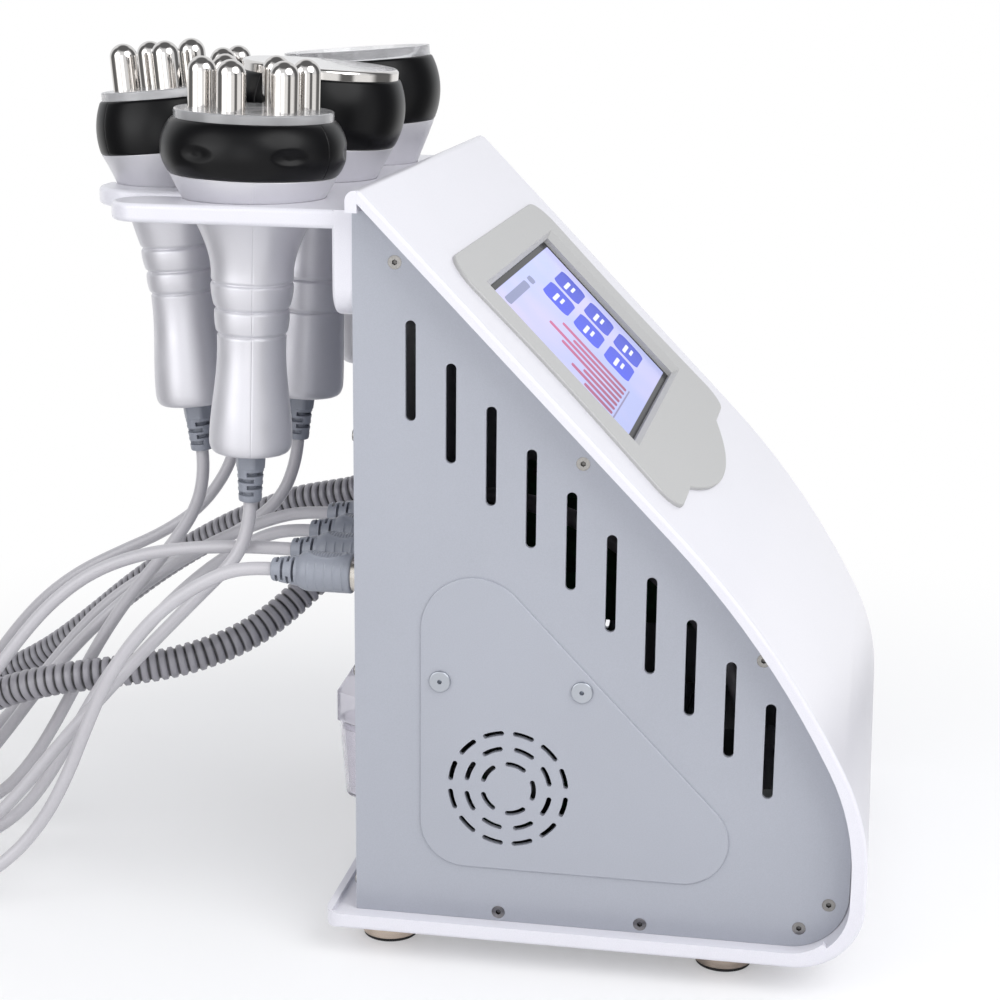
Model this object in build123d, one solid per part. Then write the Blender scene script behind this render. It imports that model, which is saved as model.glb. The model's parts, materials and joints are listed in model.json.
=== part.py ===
from build123d import *
import math
import os

# A table-top beauty machine. x runs across it, its screen faces -y, z = 0 is the table.
# Depths are measured forward from the rear edge of the side panels, sizes are in mm.

os.makedirs("parts", exist_ok=True)

# Clearances
fit_gap = 0.1            # a screw, pin or spigot in its hole
running_gap = 0.05       # a turning fit, on the radius
seam_gap = 0.4           # a panel inside the shell
seat_gap = 0.3           # a handpiece in its seat, one body against another
overrun = 4.0            # how far a cutter runs past what it cuts

# Case
body_width = 250.8       # over the outer faces of the side panels
flange_width = 12.0      # how far the shell and the tray stand out beyond them
foot_height = 13.5
tray_floor = 4.5
ledge_z = foot_height + tray_floor
case_depth = 223.3
apex_rise = 326.6        # sharp ridge corner above the tray's ledge
knee_depth = 183.5       # where the slope turns into the brow
knee_rise = 139.5
brow_rise = 63.0         # where the brow turns upright
ridge_radius = 4.2
brow_flat = 2.0          # straight left on the brow between its two curves
brow_radius = 100.0
corner_radius = 30.0     # lower front corner
inner_corner_radius = 25.5
slope_wall = 4.4
front_wall = 6.6
shell_edge_radius = 1.6
rim_depth = 9.0          # the inner rim that the side panels are screwed to
rim_thickness = 6.0
ridge_bar = 5.0          # the shell's lip over the rear panel
seam_angle = 49.0        # of the seam between shell and tray, below level

# Tray
tray_overhang = 12.4     # behind the side panels
tray_corner_radius = 9.0
lip_width = 3.2
lip_height = 2.4

# Side panels
sheet = 2.0
panel_rise = 311.0
panel_tip_radius = 2.0
return_width = 12.0      # the folded return behind the rear panel
slot_count = 10
slot_width = 4.5
slot_length = 42.65
slot_pitch = 17.22
slot_drop = 17.42
first_slot_depth = 24.7
first_slot_rise = 245.1  # middle of the first slot
field_proud = 0.9        # the raised rounded triangle
field_rear_depth = 29.0
field_bottom_rise = 24.8
field_top_rise = 192.5
field_front_depth = 191.5
field_radii = (20.0, 24.0, 20.0)
field_edge_radius = 0.72
fan_depth = 68.0
fan_rise = 62.9
grille_radii = (25.5, 18.4, 11.3)
grille_counts = (12, 8, 5)
grille_slot_length = 9.5
grille_slot_width = 2.2
rivet_places = ((37.8, 110.0), (99.6, 109.4))
rivet_radius = 4.75
rivet_head = 1.1
rivet_edge_radius = 0.55
rivet_hole = 1.0
rivet_stem = 2.4
csk_places = ((18.0, 290.3), (98.0, 209.1), (175.8, 128.5), (207.8, 20.6), (195.6, 8.7),
              (126.9, 4.1), (64.2, 4.1))
csk_radius = 2.9
csk_depth = 1.6
csk_hex = 1.25
csk_hex_depth = 1.0
screw_radius = 1.5
screw_length = 7.0
pan_radius = 2.8
pan_height = 1.8
pan_edge_radius = 0.6
pan_hex = 1.2
pan_hex_depth = 1.1
pan_length = 6.0

# Screen on the slope, placed by its distance down the slope from the sharp ridge corner
bezel_half = 111.5
bezel_waist_half = 107.2
bezel_foot_half = 114.5
bezel_top = 52.2
bezel_waist = 118.0
bezel_foot = 196.0
bezel_lobe = 222.0       # where the lobe's two tangents meet
bezel_notch_half = 70.0
bezel_corner = 16.0
bezel_waist_radius = 380.0
bezel_foot_radius = 13.0
bezel_notch_radius = 4.0
bezel_lobe_flat = 7.1    # straight left between the lobe and each notch
bezel_proud = 1.8
bezel_edge_radius = 0.9
window_width = 160.0
window_length = 92.0
window_middle = 117.5
window_flare = (9.0, 2.0)
window_flare_length = 2.4
window_depth = 3.2
frame_wall = 2.4
glass_thick = 1.2
glass_margin = 1.5
module_thick = 8.0
module_margin = 7.0
tail_size = (46.0, 23.0)  # the cable's connector behind the display
tail_thick = 3.6

# Rear panel and what sits on it, placed by x and by rise above the ledge
holder_top_rise = 311.0
plate_thick = 8.0
bracket_thick = 9.0
bracket_drop = 37.0
bracket_corner = 12.0
plate_half = 125.0
prong_end = 108.3
middle_prong_end = 133.8
prong_corner = 15.0
middle_prong_corner = 24.0
cord_slot = 16.0
hose_slot = 19.0
holder_edge_radius = 2.0
holder_screw_xs = (-104.0, -42.0, 42.0, 104.0)
holder_screw_drop = 21.0
plug_first_x = -113.4
plug_pitch = 32.6
plug_rise = 152.0
socket_radius = 7.6
socket_out = 3.2
socket_flange_radius = 9.6
socket_in = 9.0
plug_radius = 8.7
plug_length = 24.0
plug_rib_count = 6
plug_rib_depth = 0.5
plug_rib_start_share = 1.5   # of the ribs' pitch
plug_edge_radius = 1.5
boot_length = 12.5
boot_root_radius = 6.8
boot_tip_radius = 5.0
boot_groove_start_share = 0.7   # of the grooves' pitch
port_x = 6.0
port_rise = 160.0
port_radius = 10.0
port_flange_radius = 12.0
port_out = 12.0
port_spout = 14.0
port_droop = 50.0        # of the spout, below level
port_bore = 3.0
port_in = 14.0
port_barb_radius = 4.0
jar_x = 0.0
jar_rise = 4.0
jar_cup_height = 40.0
jar_offset = 23.0        # axis behind the rear panel
jar_bottom_radius = 12.8
jar_top_radius = 15.9
jar_wall = 1.8
jar_head_radius = 18.0
jar_head_height = 14.9
jar_cap_height = 17.0
jar_cap_share = 0.32     # of the head's width that is left at its top
jar_head_edge_radius = 2.5
jar_neck = 4.0           # the turned fit of cup and head
jar_arm_width = 18.0
inlet_x = 72.0
inlet_rise = 45.0
inlet_width = 48.0
inlet_height = 58.0
inlet_flange = 3.0
inlet_in = 22.0
inlet_well = (24.0, 17.0)
blade_shares = ((-0.25, 0), (0, 0.25), (0.25, 0))   # their places, of the well's size
blade_width = 2.0
blade_height = 4.0
blade_gap = 6.0          # from the well's floor to the blades' roots
rocker_size = (13.0, 19.0)
rocker_thick = 7.0
rocker_tilt = 8.0
rocker_pin = 1.5
rocker_back_share = 0.36     # of its height, half the width of its back
rocker_dip_share = 0.72      # of its thickness, at its middle
rocker_room = 1.4
rear_screw_rises = (12.0, 110.0, 215.0)

# Feet
foot_radius = 13.0
pad_thick = 1.5
pad_inset = 0.4
foot_x = 107.0
foot_depths = (11.5, 162.5)

# Grips of the handpieces: heights above the lower end, the radii there, the radius of the end, and
# how far below the shoulder the grooves are
long_grip = ((5.0, 40.0, 76.9, 101.5, 113.0, 123.0), (18.4, 15.3, 18.15, 24.7, 31.0, 36.3), 15.5,
             (0.6, 12.3, 23.5))
slim_grip = ((5.0, 42.0, 74.3, 88.0, 102.5, 117.5), (18.4, 15.5, 17.4, 20.6, 24.2, 30.2), 15.5,
             (0.6, 11.4, 21.7))
wide_grip = ((5.0, 28.0, 57.3, 92.6, 105.6, 120.6), (20.0, 18.9, 18.4, 23.0, 29.2, 36.35), 17.2,
             (0.0, 15.4))
grips = {
    "body_probe": long_grip,
    "face_probe": slim_grip,
    "flat_probe": wide_grip,
    "suction_probe": wide_grip,
    "eye_probe": slim_grip,
}
# How much each grip widens above its shoulder and narrows below it, as shares of the way along it
slope_shares = {
    "body_probe": (0.18, 0.085),
    "face_probe": (0.14, 0.065),
    "flat_probe": (0.05, 0.0),
    "suction_probe": (0.05, 0.0),
    "eye_probe": (0.14, 0.065),
}
grip_wall = 2.6
grip_foot_shares = (0.75, 0.3)   # where the foot's arc passes, across and up
groove_width = 2.4
groove_depth = 1.0
ring_swell = 0.7         # of the grip between two grooves
bulb_bore_wall = 6.5
relief_hex = 6.2
relief_hex_length = 7.5
relief_length = 23.0
relief_root_radius = 6.0
relief_tip_radius = 5.1
relief_groove_count = 3
relief_groove = 1.4
relief_groove_depth = 1.0
relief_groove_start_share = 0.6   # of the grooves' pitch
cuff_radius = 10.6
cuff_length = 24.0
cuff_edge_radius = 1.2

pin_radius = 6.2
disk_thick = 3.9
disk_edge_radius = 0.8
head_plate_thick = 4.6
head_plate_radius = 36.4
head_plate_edge = 1.6
cup_rim_radius = 36.4
cup_rim_height = 5.0
cup_wall = 2.6
cup_bowl_depth = 16.0
cup_bulge_share = 0.42   # of the bowl's depth, where its wall bends
cup_bowl_bottom_radius = 17.0
cup_hole_radius = 3.0

# Each handpiece: x, seat depth behind the rear panel, lean of its top to the rear in degrees, joint
# above the plate, then its bulb: height, widest radius, height of that, radius at the top
handpieces = {
    "body_probe": (-86.0, 53.6, -1.7, 10.0, 23.4, 40.2, 11.0, 35.2),
    "face_probe": (-38.4, 106.235, 5.1, 15.0, 23.6, 31.2, 11.5, 28.0),
    "flat_probe": (0.0, 49.4, -4.3, 17.0, 31.0, 40.4, 14.0, 37.2),
    "suction_probe": (84.0, 45.1, 4.1, 18.9, 31.8, 40.4, 14.5, 37.2),
    "eye_probe": (38.4, 106.2, 2.0, 15.0, 23.6, 31.2, 11.5, 28.0),
}
small_probes = ("face_probe", "eye_probe")
pin_counts = {"body_probe": 6, "face_probe": 4, "eye_probe": 3}
pin_turns = {"body_probe": 50.8, "face_probe": 31.3, "eye_probe": 90.0}   # of the first pin, in degrees
# Pins of a head: radius of their circle, height, disk radius
pin_sets = {
    "body_probe": (22.2, 21.8, 34.4),
    "face_probe": (15.6, 20.8, 27.2),
    "eye_probe": (14.5, 15.0, 27.2),
}

# Fan
fan_size = 60.0
fan_thick = 15.0
fan_bore = 28.5
fan_hub = 12.0
fan_blades = 7
fan_blade_turn = 28.0
fan_blade_thick = 1.4
fan_blade_width_share = 0.9   # of the rotor's length
fan_boss_height = 4.0
fan_boss_radius = 3.2
fan_screw_offset = 25.0
fan_shaft = 2.0
fan_base = 3.0

# Boards and units inside, in x, depth and rise of their nearest corner, then their size
board_thick = 1.6
# The parts on a board: left, near edge, width and length, of the board's own
board_part_shares = ((0.12, 0.15, 0.22, 0.18), (0.5, 0.12, 0.3, 0.3), (0.15, 0.55, 0.2, 0.28),
                     (0.48, 0.58, 0.14, 0.3), (0.72, 0.6, 0.18, 0.22))
board_part_heights = (9.0, 14.0, 17.0, 20.0, 12.0)
standoff_radius = 2.8
standoff_height = 8.0
main_board_place = (36.0, 66.0)
main_board_size = (100.0, 86.0)
generator_place = (-62.0, 30.0)
generator_size = (90.0, 80.0)
supply_place = (34.0, 42.0)
supply_size = (68.0, 118.0, 38.0)
vent_count = 6
vent_pitch_share = 0.125     # of the supply's length
vent_margin_share = 0.1667   # of its width
pump_place = (-98.0, 112.0)
pump_size = (46.0, 74.0, 44.0)
motor_shares = (0.36, 0.6)   # of the pump's length: its middle, its length
head_shares = (0.6, 0.95)    # of the length: start and end of the pump's head
head_width_share = 0.8
outlet_share = 0.78
pump_port_radius = 3.0
pump_port_length = 10.0
air_tube_radius = 4.2
air_exit = 20.0

# Cords and hose
cord_radius = 3.0
cord_exit = 11.0         # straight run at either end of a cord
hose_exit = 24.0         # straight run out of the port
hose_top_exit = 12.0     # and out of the cuff
hose_radius = 7.6
hose_root_radius = 6.4
hose_bore_radius = 5.4
hose_pitch = 4.45
rib_shares = (0.0, 0.14, 0.7, 0.84)   # root, crest, crest, root along one rib
arc_share = 0.45         # of a run that its corner's arc may take

plug_xs = [plug_first_x + plug_pitch * k for k in range(4)]
lean_reach = handpieces["face_probe"]
rear_reach = (lean_reach[1]
              + (lean_reach[3] + lean_reach[6]) * math.sin(math.radians(lean_reach[2]))
              + lean_reach[5] * math.cos(math.radians(lean_reach[2])))
rear_y = (case_depth - rear_reach) / 2
shell_half = body_width / 2 + flange_width
panel_x = body_width / 2
plate_top = ledge_z + holder_top_rise


def at(depth, rise):
    """A place in the y, z plane from its depth and its rise above the ledge."""
    return (rear_y - depth, ledge_z + rise)


def save(name, *solids):
    """Write one sub-part, a solid or a group of separate solids."""
    found = [s for shape in solids for s in shape.solids()]
    whole = found[0] if len(found) == 1 else Compound(children=found)
    export_step(whole, f"parts/{name}.step")


def joined(solid, extras):
    """A solid with others fused to it."""
    for extra in extras:
        solid += extra
    return solid


def crossing(a, b):
    """Where two lines meet, each a point and a direction."""
    (px, py), (ux, uy) = a
    (qx, qy), (vx, vy) = b
    share = ((qx - px) * vy - (qy - py) * vx) / (ux * vy - uy * vx)
    return (px + ux * share, py + uy * share)


def wrap_face(insets, rear, radii):
    """The case's outline in y and z, drawn in by an inset for slope, brow, front and floor."""
    corners = [at(0, apex_rise), at(knee_depth, knee_rise), at(case_depth, brow_rise),
               at(case_depth, -tray_floor), at(0, -tray_floor)]
    lines = []
    for start, end, inset in zip(corners, corners[1:], insets):
        length = math.dist(start, end)
        along = ((end[0] - start[0]) / length, (end[1] - start[1]) / length)
        lines.append(((start[0] - along[1] * inset, start[1] + along[0] * inset), along))
    back = ((rear, 0), (0, 1))
    points = [crossing(a, b) for a, b in zip([back] + lines, lines + [back])]
    ridge, brow, corner = radii
    knee = last_radius(points[0], points[1], points[2], points[3], brow, brow_flat)
    return make_face(FilletPolyline(points, radius=(ridge, knee, brow, corner, 0), close=True))


def half_turn(a, b, c):
    """Half the angle by which a path turns at its middle point."""
    turn = math.atan2(c[1] - b[1], c[0] - b[0]) - math.atan2(b[1] - a[1], b[0] - a[0])
    return abs(math.remainder(turn, 2 * math.pi)) / 2


def last_radius(a, b, c, d, next_radius, flat):
    """The arc at b that leaves a flat beside the arc at c, which has its own radius."""
    taken = next_radius * math.tan(half_turn(b, c, d))
    return (math.dist(b, c) - taken - flat) / math.tan(half_turn(a, b, c))


def slab(face, x_low, x_high):
    """A y, z face made solid from one x to another."""
    return extrude(Plane.YZ.offset(x_low) * face, amount=x_high - x_low)


def block(x, y, z):
    """A box from three pairs of limits."""
    centre = [(low + high) / 2 for low, high in (x, y, z)]
    return Pos(*centre) * Box(*[high - low for low, high in (x, y, z)])


def yz_polygon(*points):
    return make_face(Polyline(*points, close=True))


inner_insets = (slope_wall, (slope_wall + front_wall) / 2, front_wall, tray_floor)
outer_radii = (ridge_radius, brow_radius, corner_radius)
inner_radii = (0, brow_radius, inner_corner_radius)
seam_centre = at(case_depth - front_wall - inner_corner_radius, inner_corner_radius)
far = case_depth


def below_seam():
    """Everything under the seam line at the lower front corner."""
    angle = math.radians(seam_angle)
    y, z = seam_centre
    tip = (y - far * math.cos(angle), z - far * math.sin(angle))
    return yz_polygon((y, z), tip, (tip[0], z - far * 2), (y + far * 3, z - far * 2), (y + far * 3, z))


def wrap(rear):
    """The whole wrap of shell and tray, open at the rear, with a rim inside each edge."""
    outer = slab(wrap_face((0, 0, 0, 0), rear, outer_radii), -shell_half, shell_half)
    sides = outer.faces().filter_by(Axis.X).edges()
    outer = fillet([edge for edge in sides if edge.center().Y < rear - fit_gap], shell_edge_radius)
    inner = wrap_face(inner_insets, rear + overrun, inner_radii)
    outer -= slab(inner, -shell_half - overrun, shell_half + overrun)
    rim_insets = [inset + rim_depth for inset in inner_insets]
    rim_radii = (0, brow_radius - rim_depth, inner_corner_radius - rim_depth)
    ring = wrap_face(inner_insets, rear_y - return_width - overrun, inner_radii)
    ring -= wrap_face(rim_insets, rear + overrun, rim_radii)
    band = slab(ring, panel_x - sheet - rim_thickness, panel_x - sheet)
    return outer + band + mirror(band, Plane.YZ)


def top_shell():
    shell = wrap(rear_y) - slab(below_seam(), -shell_half - overrun, shell_half + overrun)
    ridge = wrap_face((0, 0, 0, 0), rear_y, outer_radii)
    bar_bottom = ledge_z + panel_rise + seam_gap
    bar = slab(ridge, -shell_half, shell_half)
    bar &= block((-shell_half, shell_half), (rear_y - ridge_bar, rear_y),
                 (bar_bottom, bar_bottom + apex_rise))
    shell += bar
    shell -= slab(rear_strip(), -panel_x - seam_gap, panel_x + seam_gap)
    shell -= screen_opening()
    return cut_screw_holes(shell)


def rear_strip():
    """The room that the rear panel and the side panels' folded edges take, up to the ridge bar."""
    top = ledge_z + panel_rise + seam_gap
    return yz_polygon((rear_y - sheet - seam_gap, ledge_z), (rear_y + overrun, ledge_z),
                      (rear_y + overrun, top), (rear_y - sheet - seam_gap, top))


def side_screw_places():
    return [at(depth, rise) for depth, rise in csk_places]


def cut_screw_holes(part):
    """Holes for the side panels' screws in the rims behind them."""
    for y, z in side_screw_places():
        for side in (-1, 1):
            x = side * (panel_x - sheet - rim_thickness / 2)
            part -= Pos(x, y, z) * Rot(Y=90) * Cylinder(screw_radius + fit_gap, rim_thickness + overrun)
    return part


def base_tray():
    rear = rear_y + tray_overhang
    tray = wrap(rear) & slab(below_seam(), -shell_half - overrun, shell_half + overrun)
    tray -= block((-panel_x, panel_x), (rear_y - return_width - sheet, rear + overrun),
                  (ledge_z, ledge_z + apex_rise))
    inner = wrap_face(inner_insets, rear, inner_radii)
    lip_insets = [inset + lip_height for inset in inner_insets]
    lip_radii = (0, brow_radius, inner_corner_radius - lip_height)
    lip = slab(inner, shell_half - lip_width, shell_half)
    lip -= slab(wrap_face(lip_insets, rear + overrun, lip_radii), 0, shell_half + overrun)
    lip &= slab(below_seam(), 0, shell_half + overrun)
    tray += lip + mirror(lip, Plane.YZ)
    tray += block((-shell_half, shell_half), (rear - lip_width, rear), (ledge_z, ledge_z + lip_height))
    front = rear_y - case_depth
    plan = Pos(0, (rear + front) / 2) * Rectangle(2 * shell_half, rear - front)
    plan = fillet(plan.vertices().group_by(Axis.Y)[-1], tray_corner_radius)
    tray &= extrude(plan, amount=apex_rise)
    for x, y in foot_places():
        tray -= Pos(x, y, foot_height + tray_floor / 2) * Cylinder(screw_radius + fit_gap, tray_floor * 2)
    return cut_screw_holes(tray)


def panel_face():
    insets = [inset + seam_gap for inset in inner_insets[:3]] + [tray_floor + fit_gap]
    radii = (panel_tip_radius, brow_radius, inner_corner_radius - seam_gap)
    return wrap_face(insets, rear_y, radii)


def grille():
    """Arc slots in rings round the fan's axis, as one y, z sketch."""
    slots = []
    for radius, count in zip(grille_radii, grille_counts):
        sweep = math.degrees((grille_slot_length - grille_slot_width) / radius)
        for k in range(count):
            turn = 360 / count * (k + 0.5)
            slots.append(SlotArc(CenterArc((0, 0), radius, turn - sweep / 2, sweep), grille_slot_width))
    y, z = at(fan_depth, fan_rise)
    return [Pos(y, z) * s for s in slots]


def side_panel():
    """The panel at -x: sheet, raised field, slots, grille, holes, a folded return and fan studs."""
    outside = -panel_x
    panel = slab(panel_face(), outside, outside + sheet)
    panel &= block((outside - sheet, outside + sheet), (rear_y - case_depth, rear_y),
                   (ledge_z, ledge_z + panel_rise))
    field = make_face(FilletPolyline([at(field_rear_depth, field_bottom_rise),
                                      at(field_rear_depth, field_top_rise),
                                      at(field_front_depth, field_bottom_rise)],
                                     radius=field_radii, close=True))
    raised = slab(field, outside - field_proud, outside)
    raised = fillet(raised.faces().sort_by(Axis.X)[0].edges(), field_edge_radius)
    panel += raised
    turned = block((outside, outside + return_width), (rear_y - 2 * sheet, rear_y - sheet),
                   (ledge_z + fit_gap + tray_floor, ledge_z + panel_rise - tray_floor))
    panel += turned
    through = (outside - sheet, outside + 2 * sheet)
    for k in range(slot_count):
        y, z = at(first_slot_depth + slot_pitch * k, first_slot_rise - slot_drop * k)
        panel -= slab(Pos(y, z) * SlotOverall(slot_length, slot_width, rotation=90), *through)
    for arc in grille():
        panel -= slab(arc, *through)
    for place in rivet_places:
        y, z = at(*place)
        panel -= Pos(outside, y, z) * Rot(Y=90) * Cylinder(rivet_stem + fit_gap, 4 * sheet)
    for y, z in side_screw_places():
        panel -= Pos(outside, y, z) * Rot(Y=90) * screw_hole()
    for y, z in rear_screw_places()[:3]:
        panel -= Pos(-rear_screw_x, rear_y - sheet, z) * Rot(X=90) * Cylinder(screw_radius + fit_gap, 4 * sheet)
    socket_z = ledge_z + plug_rise
    panel -= Pos(plug_xs[0], rear_y - sheet, socket_z) * Rot(X=90) * Cylinder(socket_radius + seat_gap, 4 * sheet)
    return panel


def screw_hole():
    """A countersunk hole whose mouth is at z = 0 and which runs up through the sheet."""
    cone = Cone(csk_radius + fit_gap, screw_radius + fit_gap, csk_depth, align=(Align.CENTER, Align.CENTER, Align.MIN))
    return cone + Cylinder(screw_radius + fit_gap, 3 * sheet, align=(Align.CENTER, Align.CENTER, Align.MIN))


def csk_screw():
    """A countersunk screw, head face at z = 0 and shank up along z."""
    up = (Align.CENTER, Align.CENTER, Align.MIN)
    screw = Cone(csk_radius, screw_radius, csk_depth, align=up) + Cylinder(screw_radius, screw_length, align=up)
    return screw - extrude(RegularPolygon(csk_hex, 6), amount=csk_hex_depth)


def pan_screw(length=pan_length):
    """A pan head screw seated at z = 0, head on the -z side and shank up along z."""
    up = (Align.CENTER, Align.CENTER, Align.MIN)
    head = Pos(0, 0, -pan_height) * Cylinder(pan_radius, pan_height, align=up)
    head = fillet(head.edges().sort_by(Axis.Z)[0], pan_edge_radius)
    screw = head + Cylinder(screw_radius, length, align=up)
    return screw - Pos(0, 0, -pan_height) * extrude(RegularPolygon(pan_hex, 6), amount=pan_hex_depth)


def both_sides(solids):
    return list(solids) + [mirror(s, Plane.YZ) for s in solids]


def panel_screws():
    return both_sides([Pos(-panel_x, y, z) * Rot(Y=90) * csk_screw() for y, z in side_screw_places()])


def panel_rivets():
    up = (Align.CENTER, Align.CENTER, Align.MIN)
    rivet = Pos(0, 0, -rivet_head) * Cylinder(rivet_radius, rivet_head, align=up)
    rivet = fillet(rivet.edges().sort_by(Axis.Z)[0], rivet_edge_radius)
    rivet += Cylinder(rivet_stem, 2 * sheet, align=up)
    rivet -= Pos(0, 0, -rivet_head) * Cylinder(rivet_hole, 2 * sheet, align=up)
    outside = -panel_x - field_proud
    return both_sides([Pos(outside, *at(*place)) * Rot(Y=90) * rivet for place in rivet_places])


# Screen
slope_start = at(0, apex_rise)
slope_end = at(knee_depth, knee_rise)
slope_angle = math.atan2(slope_start[1] - slope_end[1], slope_start[0] - slope_end[0])
slope_plane = Plane(origin=(0, slope_start[0], slope_start[1]), x_dir=(1, 0, 0),
                    z_dir=(0, -math.sin(slope_angle), math.cos(slope_angle)))


def on_slope(sketch, low, high):
    """A sketch on the slope made solid between two heights over its surface."""
    return extrude(slope_plane.offset(low) * sketch, amount=high - low)


def window(grow):
    return Pos(0, -window_middle) * Rectangle(window_width + 2 * grow, window_length + 2 * grow)


def screen_opening():
    return on_slope(window(frame_wall + seam_gap), -slope_wall - overrun, overrun)


def bezel_outline():
    """Nearly straight sides drawn in at the waist, and a foot with a broad lobe between two notches."""
    right = [(bezel_half, -bezel_top), (bezel_waist_half, -bezel_waist), (bezel_foot_half, -bezel_foot),
             (bezel_notch_half, -bezel_foot)]
    left = [(-x, y) for x, y in reversed(right)]
    radii = [bezel_corner, bezel_waist_radius, bezel_foot_radius, bezel_notch_radius]
    lobe = last_radius(right[-1], (0, -bezel_lobe), left[0], left[1], bezel_notch_radius, bezel_lobe_flat)
    outline = FilletPolyline(right + [(0, -bezel_lobe)] + left, radius=radii + [lobe] + radii[::-1], close=True)
    return make_face(outline)


def screen_bezel():
    plate = on_slope(bezel_outline(), 0, bezel_proud)
    plate = fillet(plate.faces().sort_by(Axis((0, 0, 0), slope_plane.z_dir))[-1].edges(), bezel_edge_radius)
    bezel = plate + on_slope(window(frame_wall), -window_depth, 0)
    bezel -= on_slope(window(0), -window_depth - overrun, overrun)
    share = (window_flare_length + overrun) / window_flare_length
    low = slope_plane.offset(bezel_proud - window_flare_length) * window(0)
    wide, tall = [size + 2 * flare * share for size, flare in zip((window_width, window_length), window_flare)]
    high = slope_plane.offset(bezel_proud + overrun) * Pos(0, -window_middle) * Rectangle(wide, tall)
    return bezel - loft([low, high])


def display_glass():
    return on_slope(window(frame_wall - fit_gap), -window_depth - glass_thick, -window_depth)


def display_module():
    """The screen's metal can behind the shell, with a cable tail's connector block."""
    front = -window_depth - glass_thick
    can = on_slope(window(module_margin), front - module_thick, front)
    tail = Pos(0, -window_middle) * Rectangle(*tail_size)
    return can + on_slope(tail, front - module_thick - tail_thick, front - module_thick)


# Rear panel
rear_screw_x = panel_x - return_width / 2 - sheet / 2


def rear_screw_places():
    return [(0, ledge_z + rise) for rise in rear_screw_rises]


def holder_screw_z():
    return plate_top - plate_thick - holder_screw_drop


def rear_panel():
    edge = panel_x - sheet - fit_gap
    panel = block((-edge, edge), (rear_y - sheet, rear_y), (ledge_z + fit_gap, ledge_z + panel_rise))
    for x in plug_xs:
        panel -= Pos(x, rear_y, ledge_z + plug_rise) * Rot(X=90) * Cylinder(socket_radius, 4 * sheet)
    panel -= Pos(port_x, rear_y, ledge_z + port_rise) * Rot(X=90) * Cylinder(port_barb_radius + fit_gap, 4 * sheet)
    panel -= block((inlet_x - inlet_width / 2 + inlet_flange, inlet_x + inlet_width / 2 - inlet_flange),
                   (rear_y - 2 * sheet, rear_y + sheet),
                   (inlet_z() - inlet_height / 2 + inlet_flange, inlet_z() + inlet_height / 2 - inlet_flange))
    for plane, length in rear_screws():
        panel -= plane * Cylinder(screw_radius + fit_gap, 4 * bracket_thick)
    return panel


def inlet_z():
    return ledge_z + inlet_rise


def rear_screws():
    """Planes of the pan head screws on the rear, z into the machine, and their lengths."""
    found = []
    for side in (-1, 1):
        for _, z in rear_screw_places():
            found.append((Plane((side * rear_screw_x, rear_y, z), z_dir=(0, -1, 0)), pan_length))
    for x in holder_screw_xs:
        found.append((Plane((x, rear_y + bracket_thick, holder_screw_z()), z_dir=(0, -1, 0)),
                      pan_length + bracket_thick))
    return found


def handpiece_holder():
    back = rear_y
    z = plate_top - plate_thick
    root_end = rear_y + handpieces["body_probe"][1]
    shapes = [Pos(0, (back + root_end) / 2) * Rectangle(2 * plate_half, root_end - back)]
    half_slots = (cord_slot / 2, cord_slot / 2, hose_slot / 2)
    xs = [handpieces[name][0] for name in ("body_probe", "flat_probe", "suction_probe")]
    limits = [(-plate_half, xs[0] - half_slots[0], prong_end, prong_corner),
              (xs[0] + half_slots[0], xs[1] - half_slots[1], middle_prong_end, middle_prong_corner),
              (xs[1] + half_slots[1], xs[2] - half_slots[2], middle_prong_end, middle_prong_corner),
              (xs[2] + half_slots[2], plate_half, prong_end, prong_corner)]
    for low, high, end, corner in limits:
        prong = Pos((low + high) / 2, rear_y + (end + prong_corner) / 2) * Rectangle(high - low, end - prong_corner)
        shapes.append(fillet(prong.vertices().group_by(Axis.Y)[-1], corner))
    plate = shapes[0]
    for shape in shapes[1:]:
        plate += shape
    holder = extrude(Pos(0, 0, z) * plate, amount=plate_thick)
    rim = [edge for edge in holder.edges().filter_by(Plane.XY) if edge.center().Y > back + fit_gap]
    holder = fillet(rim, holder_edge_radius)
    bracket = Pos(0, (z - bracket_drop + plate_top) / 2) * Rectangle(2 * plate_half, bracket_drop + plate_thick)
    bracket = fillet(bracket.vertices().group_by(Axis.Y)[0], bracket_corner)
    bracket = extrude(Plane((0, back, 0), x_dir=(-1, 0, 0), z_dir=(0, 1, 0)) * bracket, amount=bracket_thick)
    outer = bracket.faces().sort_by(Axis.Y)[-1].edges()
    holder += fillet([edge for edge in outer if edge.center().Z < z], holder_edge_radius)
    for name in small_probes:
        x, seat = handpieces[name][0], rear_y + handpieces[name][1]
        holder -= block((x - cord_slot / 2, x + cord_slot / 2), (seat, seat + middle_prong_end),
                        (z - overrun, plate_top + overrun))
    for name in handpieces:
        holder -= seat_of(name)
    for x in holder_screw_xs:
        holder -= Pos(x, rear_y, holder_screw_z()) * Rot(X=90) * Cylinder(screw_radius + fit_gap, 4 * bracket_thick)
    return holder


# Handpieces
def grip_length(name):
    return grips[name][0][-1]


def axis_of(name):
    """The handpiece's own frame: z up its axis, z = 0 at the joint of grip and bulb."""
    x, depth, lean, rise = handpieces[name][:4]
    return Pos(x, rear_y + depth, plate_top) * Rot(X=-lean) * Pos(0, 0, rise)


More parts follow.
